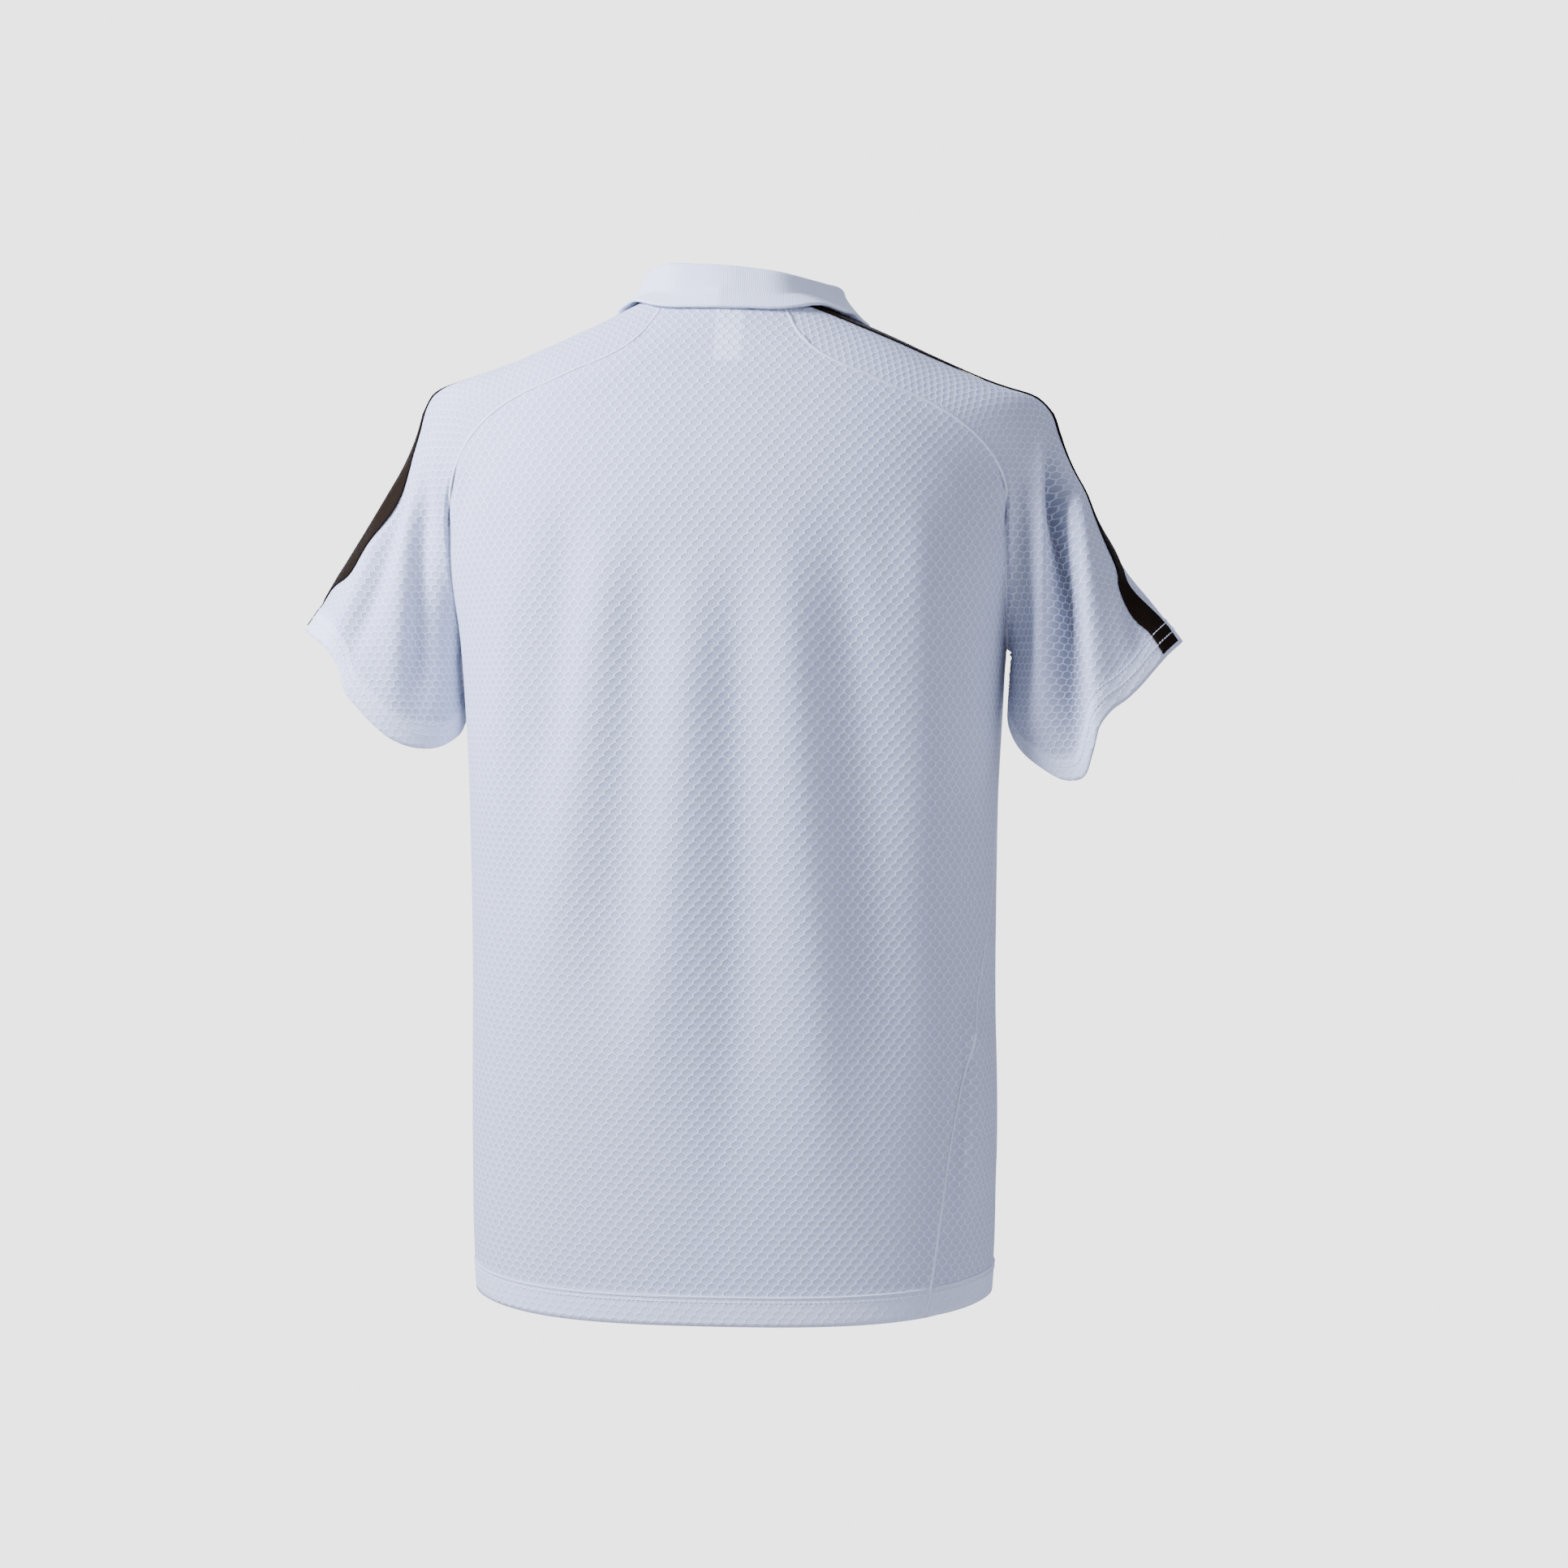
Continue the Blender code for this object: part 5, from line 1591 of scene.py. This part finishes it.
def rib_group() -> bpy.types.NodeTree:
    """Fine knit: wales that run up the cloth, crossed by the finer steps of its courses.

    Each is a wave of the place across or along, the cosine of its share of a pitch.

    Returns:
        The group. Height is 1 on top of a loop.
    """
    takes = {"Place": "NodeSocketVector", "Wale": 0.0012, "Course": 0.0009, "Course Share": 0.35}
    graph, given, leave = group_tree("rib_knit", takes, {"Height": "NodeSocketFloat"})
    split = graph.add("ShaderNodeSeparateXYZ")
    graph.put(split.inputs[0], given["Place"])
    waves = []
    for axis, pitch in ((0, "Wale"), (1, "Course")):
        turn = graph.math("MULTIPLY", graph.math("DIVIDE", split.outputs[axis], given[pitch]), math.tau)
        waves.append(graph.math("MULTIPLY_ADD", graph.math("COSINE", turn), 0.5, 0.5))
    course = graph.math("MULTIPLY", waves[1], given["Course Share"])
    graph.put(leave.inputs["Height"], graph.math("ADD", waves[0], course))
    return graph.tree


def tone_group() -> bpy.types.NodeTree:
    """Soft unevenness of white cloth: broad cloudy noise and a fine one, on the shirt's own place.

    Returns:
        The group. Tone is near 1 and multiplies a colour's lightness.
    """
    takes = {"Broad": 9.0, "Fine": 900.0, "Amount": 0.03}
    graph, given, leave = group_tree("cloth_tone", takes, {"Tone": "NodeSocketFloat"})
    place = graph.add("ShaderNodeTexCoord").outputs["Object"]
    parts = []
    for name in ("Broad", "Fine"):
        noise = graph.add("ShaderNodeTexNoise")
        graph.put(noise.inputs["Vector"], place)
        graph.put(noise.inputs["Scale"], given[name])
        noise.inputs["Detail"].default_value = 2.0
        parts.append(graph.math("SUBTRACT", noise.outputs["Fac"], 0.5))
    total = graph.math("MULTIPLY", graph.math("ADD", *parts), given["Amount"])
    graph.put(leave.inputs["Tone"], graph.math("ADD", 1.0, total))
    return graph.tree


@dataclass
class ClothGroups:
    """The node groups that several finishes use, each made once."""

    honeycomb: bpy.types.NodeTree = field(default_factory=honeycomb_group)
    ribs: bpy.types.NodeTree = field(default_factory=rib_group)
    tone: bpy.types.NodeTree = field(default_factory=tone_group)


@dataclass(frozen=True)
class Finish:
    """What every finish has: a name, a colour, and how matt and how downy it is."""

    name: str
    colour: Colour
    roughness: float = 0.85
    sheen: float = 0.0
    specular: float = 0.3

    def start(self) -> tuple[bpy.types.Material, NodeGraph, bpy.types.Node]:
        """Makes the material with its shader.

        Returns:
            The material, its graph and the shader.
        """
        made = bpy.data.materials.new(self.name)
        made.use_nodes = True
        shader = made.node_tree.nodes["Principled BSDF"]
        shader.inputs["Base Color"].default_value = (*self.colour, 1.0)
        shader.inputs["Roughness"].default_value = self.roughness
        shader.inputs["Sheen Weight"].default_value = self.sheen
        shader.inputs["Sheen Roughness"].default_value = 0.5
        shader.inputs["Specular IOR Level"].default_value = self.specular
        return made, NodeGraph(made.node_tree), shader

    @staticmethod
    def group(graph: NodeGraph, tree: bpy.types.NodeTree, **inputs: object) -> bpy.types.Node:
        """Places a node group, its inputs named with _ for a space."""
        node = graph.add("ShaderNodeGroup", node_tree=tree)
        for name, value in inputs.items():
            graph.put(node.inputs[name.replace("_", " ")], value)
        return node

    @staticmethod
    def toned(graph: NodeGraph, colour: object, tone: object) -> bpy.types.NodeSocket:
        """A colour made lighter or darker by a number near 1."""
        node = graph.add("ShaderNodeVectorMath", operation="SCALE")
        graph.put(node.inputs[0], colour)
        graph.put(node.inputs["Scale"], tone)
        return node.outputs[0]

    @staticmethod
    def relief(graph: NodeGraph, shader: bpy.types.Node, height: object, depth: float, strength: float = 1.0) -> None:
        """Turns a height of 0 to 1 into relief of that depth on the shader."""
        bump = graph.add("ShaderNodeBump")
        bump.inputs["Strength"].default_value = strength
        bump.inputs["Distance"].default_value = depth
        graph.put(bump.inputs["Height"], height)
        graph.put(shader.inputs["Normal"], bump.outputs["Normal"])


@dataclass(frozen=True)
class HoneycombMesh(Finish):
    """White honeycomb mesh, whose cells are thin and a little dark, and whose net is raised. In the folds' troughs
    the cells carry painted shade, darker with the trough's depth.
    """

    cell: Colour = (0.56, 0.59, 0.70)
    # Painted shade: the cells' colour at the bottom of a deep fold trough, where the fold's own shade falls.
    painted_shade_cell: Colour = (0.36, 0.38, 0.46)
    pitch: float = 0.0076
    row: float = 0.00445
    turned: bool = False
    pointed: float = 0.3
    depth: float = 0.0006

    def build(self, groups: ClothGroups) -> bpy.types.Material:
        """Makes the material.

        Args:
            groups: the shared node groups.

        Returns:
            The material.
        """
        made, graph, shader = self.start()
        place = graph.add("ShaderNodeUVMap", uv_map="cut").outputs[0]
        if self.turned:
            turn = graph.add("ShaderNodeMapping")
            turn.inputs["Rotation"].default_value = (0.0, 0.0, math.pi / 2)
            graph.put(turn.inputs["Vector"], place)
            place = turn.outputs[0]
        comb = self.group(
            graph, groups.honeycomb, Place=place, Pitch=self.pitch, Row=self.row, Pointed=self.pointed
        )
        yarn = self.group(graph, groups.ribs, Place=place, Wale=0.00095, Course=0.0008)
        tone = self.group(graph, groups.tone).outputs["Tone"]
        doubled, trough_shade, backed = (graph.attribute(name) for name in ("doubled", "trough_shade", "backed"))
        # Painted shade: the cells darken with the depth of the fold trough under them.
        cell = graph.blend(trough_shade, (*self.cell, 1.0), (*self.painted_shade_cell, 1.0))
        behind = graph.math("MAXIMUM", graph.math("MULTIPLY", doubled, 0.75), graph.math("MULTIPLY", backed, 0.9))
        cell = graph.blend(behind, cell, (*self.colour, 1.0))
        colour = graph.blend(comb.outputs["Rim"], cell, (*self.colour, 1.0))
        graph.put(shader.inputs["Base Color"], self.toned(graph, colour, tone))
        softer = graph.math("MULTIPLY_ADD", doubled, -0.45, 1.0)
        net = graph.math("MULTIPLY", comb.outputs["Height"], softer)
        height = graph.math("MULTIPLY_ADD", yarn.outputs["Height"], 0.07, net)
        self.relief(graph, shader, height, self.depth)
        return made


@dataclass(frozen=True)
class RibKnit(Finish):
    """Dense white flat knit with fine wales."""

    groove: Colour = (0.79, 0.83, 0.92)
    wale: float = 0.0014
    course: float = 0.0010
    depth: float = 0.00022

    def build(self, groups: ClothGroups) -> bpy.types.Material:
        """Makes the material.

        Args:
            groups: the shared node groups.

        Returns:
            The material.
        """
        made, graph, shader = self.start()
        place = graph.add("ShaderNodeUVMap", uv_map="cut").outputs[0]
        knit = self.group(graph, groups.ribs, Place=place, Wale=self.wale, Course=self.course)
        tone = self.group(graph, groups.tone, Amount=0.025).outputs["Tone"]
        share = graph.spread(knit.outputs["Height"], 0.1, 0.9)
        colour = graph.blend(share, (*self.groove, 1.0), (*self.colour, 1.0))
        graph.put(shader.inputs["Base Color"], self.toned(graph, colour, tone))
        self.relief(graph, shader, knit.outputs["Height"], self.depth)
        return made


@dataclass(frozen=True)
class DarkTape(Finish):
    """Near-black woven tape: a slanted twill, a little lighter where the yarn turns up."""

    lighter: Colour = (0.022, 0.013, 0.006)
    twill: float = 0.0011
    depth: float = 0.00018

    def build(self, groups: ClothGroups) -> bpy.types.Material:
        """Makes the material.

        Args:
            groups: the shared node groups.

        Returns:
            The material.
        """
        made, graph, shader = self.start()
        turn = graph.add("ShaderNodeMapping")
        turn.inputs["Rotation"].default_value = (0.0, 0.0, math.radians(40))
        graph.put(turn.inputs["Vector"], graph.add("ShaderNodeUVMap", uv_map="cut").outputs[0])
        knit = self.group(graph, groups.ribs, Place=turn.outputs[0], Wale=self.twill, Course=self.twill)
        tone = self.group(graph, groups.tone, Amount=0.5).outputs["Tone"]
        share = graph.spread(knit.outputs["Height"], 0.5, 1.35)
        colour = graph.blend(share, (*self.colour, 1.0), (*self.lighter, 1.0))
        graph.put(shader.inputs["Base Color"], self.toned(graph, colour, tone))
        self.relief(graph, shader, knit.outputs["Height"], self.depth)
        return made


@dataclass(frozen=True)
class SmoothPlastic(Finish):
    """Cast button plastic with a faint cloud in it."""

    cloud: Colour = (0.72, 0.75, 0.80)

    def build(self, groups: ClothGroups) -> bpy.types.Material:
        """Makes the material.

        Args:
            groups: the shared node groups.

        Returns:
            The material.
        """
        made, graph, shader = self.start()
        noise = graph.add("ShaderNodeTexNoise")
        graph.put(noise.inputs["Vector"], graph.add("ShaderNodeTexCoord").outputs["Object"])
        noise.inputs["Scale"].default_value = 260.0
        share = graph.spread(noise.outputs["Fac"], 0.35, 0.7)
        graph.put(shader.inputs["Base Color"], graph.blend(share, (*self.cloud, 1.0), (*self.colour, 1.0)))
        tone = self.group(graph, groups.tone, Amount=0.12, Fine=2500.0).outputs["Tone"]
        graph.put(shader.inputs["Roughness"], graph.math("MULTIPLY", tone, self.roughness))
        return made


@dataclass(frozen=True)
class Thread(Finish):
    """White sewing thread, its twist a slanted wave."""

    def build(self, groups: ClothGroups) -> bpy.types.Material:
        """Makes the material.

        Args:
            groups: the shared node groups.

        Returns:
            The material.
        """
        made, graph, shader = self.start()
        wave = graph.add("ShaderNodeTexWave")
        graph.put(wave.inputs["Vector"], graph.add("ShaderNodeTexCoord").outputs["Object"])
        wave.inputs["Scale"].default_value = 700.0
        tone = self.group(graph, groups.tone).outputs["Tone"]
        graph.put(shader.inputs["Base Color"], self.toned(graph, (*self.colour, 1.0)[:3], tone))
        self.relief(graph, shader, wave.outputs["Fac"], 0.00008)
        return made


class Wardrobe:
    """Every finish of the shirt, made once."""

    def __init__(self) -> None:
        """Makes the materials."""
        groups = ClothGroups()
        white = (0.82, 0.86, 0.95)
        self.body = HoneycombMesh("body_mesh", white, sheen=0.15).build(groups)
        self.sleeve = HoneycombMesh(
            "sleeve_mesh", white, sheen=0.15, pitch=0.0057, row=0.0052, turned=True, pointed=0.25
        ).build(groups)
        self.knit = RibKnit("collar_knit", (0.84, 0.88, 0.96), sheen=0.2, depth=0.00012).build(groups)
        self.seam = RibKnit("seam_cloth", (0.86, 0.89, 0.96), wale=0.0009, course=0.0012).build(groups)
        self.tape = DarkTape("dark_tape", (0.008, 0.0045, 0.002), roughness=0.75, specular=0.06).build(groups)
        self.label = RibKnit("label_weave", (0.88, 0.90, 0.94), wale=0.0006, course=0.0006).build(groups)
        self.plastic = SmoothPlastic("button_plastic", (0.84, 0.86, 0.90), 0.28, specular=0.5).build(groups)
        self.thread = Thread("white_thread", (0.88, 0.90, 0.96), 0.7).build(groups)


@dataclass
class PoloShirt:
    """The whole shirt, piece by piece."""

    finishes: Wardrobe
    label_width: float = 0.019
    label_length: float = 0.045
    placket_width: float = 0.032
    placket_length: float = 0.140
    trim_wall: float = 0.0010
    placket_wall: float = 0.0016
    laid_on: float = 0.0004
    cuff_rows: tuple[float, float] = (0.0105, 0.0180)

    def dress(self, cloth: ClothGrid, name: str, node: str, wall: float, finish: bpy.types.Material) -> bpy.types.Object:
        """Makes a cloth piece that stands for one solid.

        Args:
            cloth: its grid.
            name: its name.
            node: the solid's name.
            wall: its thickness.
            finish: its material.

        Returns:
            The piece.
        """
        piece = cloth.object(name, wall, finish)
        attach(piece, "root")
        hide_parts(node)
        return piece

    def body(self) -> None:
        """Makes the back and the front, with their hem stitches."""
        self.back = BodyPanel(Face.BACK, self.label_width / 2, -0.0035)
        self.front = BodyPanel(Face.FRONT, self.placket_width / 2, -0.075)
        for panel, node in ((self.back, "back_panel"), (self.front, "front_panel")):
            grid = panel.build()
            row = int(np.argmin(np.abs(panel.hem_distance[:, panel.middle] - panel.hem_depth)))
            normal = grid.normals() * -panel.face.value
            line = grid.points[row - 1]
            SeamRidge(f"hem_ridge_{panel.face.name.lower()}", grid.points[row], normal[row], width=0.0020, height=0.0007).build(
                self.finishes.seam
            )
            stitches = StitchRow(f"hem_stitches_{panel.face.name.lower()}", line + normal[row - 1] * 0.0002, normal[row - 1])
            made = stitches.build(self.finishes.thread)
            shown = grid if panel.face is Face.FRONT else grid.turned()
            piece = self.dress(shown, f"{panel.face.name.lower()}_cloth", node, panel.wall, self.finishes.body)

    def arms(self) -> None:
        """Makes the sleeves, with their cuff stitches, and the dark bands that lie on them."""
        self.sleeves = {side: RaglanSleeve(side) for side in Side}
        for side, sleeve in self.sleeves.items():
            name = side.name.lower()
            grid = sleeve.build()
            normal = grid.normals() * side.value
            shown = grid if side is Side.LEFT else grid.turned()
            band = sleeve.band_grid(self.laid_on + self.trim_wall)
            for number, reach in enumerate(self.cuff_rows, start=1):
                rows = np.arange(sleeve.cuff_reach.shape[0])
                share = np.array([np.interp(reach, column[::-1], rows[::-1]) for column in sleeve.cuff_reach.T])
                low = np.clip(share.astype(int), 0, len(rows) - 2)
                part = (share - low)[:, None]
                every = np.arange(grid.points.shape[1])
                line = mix(grid.points[low, every], grid.points[low + 1, every], part)
                square = mix(normal[low, every], normal[low + 1, every], part)
                on_band = np.abs(every - sleeve.middle) <= sleeve.column_steps
                lift = np.where(on_band, self.laid_on + self.trim_wall + 0.0003, 0.0002)
                StitchRow(f"cuff_stitches_{name}_{number}", line + square * lift[:, None], square).build(self.finishes.thread)
            piece = self.dress(shown, f"sleeve_cloth_{name}", f"sleeve_{name}", sleeve.wall, self.finishes.sleeve)
            tape = self.dress(
                band if side is Side.LEFT else band.turned(), f"band_tape_{name}", f"band_{name}", self.trim_wall, self.finishes.tape
            )

    def seams(self) -> None:
        """Raises a ridge along each raglan seam and each side seam."""
        for (side, face), line in SEAMS.items():
            out = unit(FORM.gradient(FORM.whole, line))
            points = FORM.lean(line + out * FORM.fold_lift(line, FOLDS)[:, None])
            SeamRidge(f"raglan_ridge_{side.name.lower()}_{face.name.lower()}", points, out).build(self.finishes.seam)
        for side, column in ((Side.LEFT, -1), (Side.RIGHT, 0)):
            grid = self.back.grid
            last = grid.points.shape[0] - RAGLAN_ROWS * RAGLAN_STEPS
            normal = -grid.normals()[:last, column]
            SeamRidge(
                f"side_ridge_{side.name.lower()}", grid.points[:last, column], normal, width=0.0022, height=0.0007
            ).build(self.finishes.seam)

    def neck(self) -> None:
        """Makes the collar and the blank label inside the back neck."""
        edges = [self.back.neck_edge, self.front.neck_edge, *(s.neck_edge for s in self.sleeves.values())]
        collar = KnitCollar()
        grid = collar.build(edges)
        piece = self.dress(grid, "collar_cloth", "collar", collar.wall, self.finishes.knit)
        label = self.back.strip_grid(self.label_length, -self.back.wall - self.laid_on)
        label = ClothGrid(label.points[:-2], label.flat[:-2])
        piece = self.dress(label.turned(), "label_cloth", "neck_label", self.trim_wall, self.finishes.label)

    def closure(self) -> None:
        """Makes the placket with its stitches, and the three buttons."""
        placket = self.front.strip_grid(self.placket_length, self.laid_on + self.placket_wall)
        placket = ClothGrid(placket.points[:-1], placket.flat[:-1])
        piece = self.dress(placket, "placket_cloth", "placket", self.placket_wall, self.finishes.knit)
        normal = placket.normals()
        for column, name in ((1, "right"), (-2, "left")):
            line = placket.points[1:, column] + normal[1:, column] * 0.0002
            StitchRow(f"placket_stitches_{name}", line, normal[1:, column]).build(self.finishes.thread)
        for node in ("button_1", "button_2", "button_3"):
            ShirtButton(node).build(self.finishes)


@dataclass
class ShirtButton:
    """A four-hole shirt button, turned round its axis, with its thread."""

    node: str
    sides: int = 48
    hole_radius: float = 0.00065
    hole_offset: float = 0.0013
    profile: tuple[tuple[float, float], ...] = (
        (0.0, 0.0004),
        (0.0030, 0.0004),
        (0.0038, 0.0010),
        (0.0046, 0.00125),
        (0.0053, 0.0009),
        (0.0057, 0.0),
        (0.0053, -0.0009),
        (0.0040, -0.0013),
        (0.0, -0.0013),
    )

    def build(self, finishes: Wardrobe) -> None:
        """Turns the profile on the solid's own axis, and crosses the thread.

        Args:
            finishes: the shirt's finishes.
        """
        mesh = frame["nodes"][self.node].data
        co = np.empty(len(mesh.vertices) * 3)
        mesh.vertices.foreach_get("co", co)
        co = co.reshape(-1, 3)
        centre = (co.min(0) + co.max(0)) / 2
        spread = np.linalg.eigh(np.cov((co - co.mean(0)).T))[1]
        axis = spread[:, 0] * -np.sign(spread[1, 0])
        across = unit(np.cross(axis, UP))
        upward = np.cross(across, axis)
        turn = np.arange(self.sides) * math.tau / self.sides
        radius, height = (np.array(column) for column in zip(*self.profile))
        ring = (np.cos(turn)[:, None] * across + np.sin(turn)[:, None] * upward)[None] * radius[1:-1, None, None]
        body = centre + ring + axis * height[1:-1, None, None]
        poles = centre + axis * height[[0, -1], None]
        points = np.concatenate([body.reshape(-1, 3), poles])
        index = np.arange((len(radius) - 2) * self.sides).reshape(-1, self.sides)
        beside = np.roll(index, -1, axis=1)
        walls = np.stack([index[:-1], index[1:], beside[1:], beside[:-1]], axis=-1).reshape(-1, 4)
        top, bottom = len(points) - 2, len(points) - 1
        caps = [np.stack([beside[0], np.full(self.sides, top), index[0], np.full(self.sides, -1)], axis=-1)]
        caps.append(np.stack([index[-1], np.full(self.sides, bottom), beside[-1], np.full(self.sides, -1)], axis=-1))
        faces = np.concatenate([walls, *caps])
        piece = joined_mesh(f"shirt_{self.node}", points[None], faces, finishes.plastic)
        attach(piece, "root")
        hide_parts(self.node)
        level = centre + axis * (self.profile[0][1] + 0.0002)
        for sign in (1, -1):
            ends = np.stack([level - across * self.hole_offset, level + across * self.hole_offset])
            ends = ends + upward * self.hole_offset * sign * np.array([[1.0], [1.0]])
            line = mix(ends[0], ends[1], np.linspace(0, 1, 9)[:, None])
            StitchRow(
                f"{self.node}_thread_{'upper' if sign > 0 else 'lower'}",
                line,
                np.broadcast_to(axis, line.shape),
                pitch=0.0013,
                length=0.0019,
                width=0.0009,
                height=0.0008,
            ).build(finishes.thread)


@dataclass
class Studio:
    """A plain pale floor, soft light from the left of the picture, and the picture's camera."""

    floor_z: float = -1.35
    floor_reach: float = 60.0
    pale: float = 3.15
    floor_albedo: Colour = (0.55, 0.53, 0.50)
    cool: Colour = (0.85, 0.91, 1.21)
    surround: float = 0.10
    window_power: float = 62.0
    window_size: float = 0.55
    window_place: tuple[float, float, float] = (1.02, 0.74, 0.38)
    window_aim: tuple[float, float, float] = (0.0, 0.1, -0.35)
    lights: tuple[tuple[str, float, float, float, float], ...] = (
        ("ceiling_light", 1.2, 40.0, 95.0, 72.0),
        ("room_light", 1.2, 40.0, -60.0, 18.0),
        ("front_light", 4.0, 50.0, 168.0, 16.0),
    )
    camera_place: tuple[float, float, float] = (-0.2598, 1.9834, -0.341)
    yaw: float = math.radians(6.5)
    lens: float = 63.2
    film: float = 36.0

    def window(self) -> None:
        """Adds the near, soft light that is strongest on the wearer's left shoulder."""
        light = bpy.data.lights.new("window_light", "AREA")
        light.shape, light.size = "DISK", self.window_size
        light.energy, light.color = self.window_power, self.cool
        lamp = bpy.data.objects.new("window_light", light)
        lamp.location = self.window_place
        lamp.rotation_mode = "QUATERNION"
        from_ = Vector(self.window_place) - Vector(self.window_aim)
        lamp.rotation_quaternion = from_.to_track_quat("Z", "Y")
        bpy.context.scene.collection.objects.link(lamp)

    def sun(self, name: str, strength: float, breadth: float, round_: float, height: float) -> None:
        """Adds a broad even light.

        Args:
            name: its name.
            strength: how strong it is.
            breadth: how broad it is, in degrees.
            round_: how far it stands round from behind the wearer to the wearer's left, in degrees.
            height: how high it stands, in degrees.
        """
        light = bpy.data.lights.new(name, "SUN")
        light.energy, light.angle, light.color = strength, math.radians(breadth), self.cool
        aside, up = math.radians(round_), math.radians(height)
        from_ = Vector((math.sin(aside) * math.cos(up), math.cos(aside) * math.cos(up), math.sin(up)))
        lamp = bpy.data.objects.new(name, light)
        lamp.rotation_mode = "QUATERNION"
        lamp.rotation_quaternion = from_.to_track_quat("Z", "Y")
        bpy.context.scene.collection.objects.link(lamp)

    def seen_or_lit(self, graph: NodeGraph, lit: bpy.types.NodeSocket, seen: bpy.types.NodeSocket) -> bpy.types.NodeSocket:
        """One shader for what the picture shows of the surround, and one for the light that it gives."""
        either = graph.add("ShaderNodeMixShader")
        graph.put(either.inputs[0], graph.add("ShaderNodeLightPath").outputs["Is Camera Ray"])
        graph.put(either.inputs[1], lit)
        graph.put(either.inputs[2], seen)
        return either.outputs[0]

    def floor(self) -> None:
        """Lays the floor, as pale as the surround above it."""
        reach = self.floor_reach
        mesh = bpy.data.meshes.new("floor")
        ring = [(-reach, -reach), (reach, -reach), (reach, reach), (-reach, reach)]
        mesh.from_pydata([(x, y, self.floor_z) for x, y in ring], [], [(0, 1, 2, 3)])
        floor = bpy.data.objects.new("floor", mesh)
        bpy.context.scene.collection.objects.link(floor)
        made = bpy.data.materials.new("pale_floor")
        made.use_nodes = True
        made.node_tree.nodes.clear()
        graph = NodeGraph(made.node_tree)
        lit = graph.add("ShaderNodeBsdfDiffuse")
        lit.inputs["Color"].default_value = (*self.floor_albedo, 1.0)
        seen = graph.add("ShaderNodeEmission")
        seen.inputs["Strength"].default_value = self.pale
        out = graph.add("ShaderNodeOutputMaterial")
        graph.put(out.inputs[0], self.seen_or_lit(graph, lit.outputs[0], seen.outputs[0]))
        floor.data.materials.append(made)

    def world(self) -> None:
        """Sets the even surround."""
        world = bpy.data.worlds.new("studio")
        bpy.context.scene.world = world
        world.use_nodes = True
        world.node_tree.nodes.clear()
        graph = NodeGraph(world.node_tree)
        seen, lit = (graph.add("ShaderNodeBackground") for _ in range(2))
        seen.inputs["Color"].default_value = (1.0, 1.0, 1.0, 1.0)
        seen.inputs["Strength"].default_value = self.pale
        lit.inputs["Color"].default_value = (*self.cool, 1.0)
        lit.inputs["Strength"].default_value = self.surround
        out = graph.add("ShaderNodeOutputWorld")
        graph.put(out.inputs[0], self.seen_or_lit(graph, lit.outputs[0], seen.outputs[0]))

    def build(self) -> None:
        """Makes floor, surround, lights and camera."""
        self.floor()
        self.world()
        self.window()
        for light in self.lights:
            self.sun(*light)
        camera = bpy.data.cameras.new("camera")
        camera.lens, camera.sensor_width = self.lens, self.film
        eye = bpy.data.objects.new("camera", camera)
        eye.location = self.camera_place
        eye.rotation_euler = (math.pi / 2, 0.0, math.pi + self.yaw)
        bpy.context.scene.collection.objects.link(eye)
        bpy.context.scene.camera = eye


def clear_startup() -> None:
    """Removes whatever is not part of the frame."""
    for old in list(bpy.data.objects):
        if "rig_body" not in old and not old.name.startswith("body:"):
            bpy.data.objects.remove(old, do_unlink=True)


def main() -> None:
    """Builds the shirt and its studio."""
    logging.basicConfig(level=logging.INFO, format="%(message)s")
    clear_startup()
    Studio().build()
    shirt = PoloShirt(Wardrobe())
    for step in (shirt.body, shirt.arms, shirt.seams, shirt.neck, shirt.closure):
        step()
        LOG.info("%s done", step.__name__)


if __name__ == "__main__":
    main()
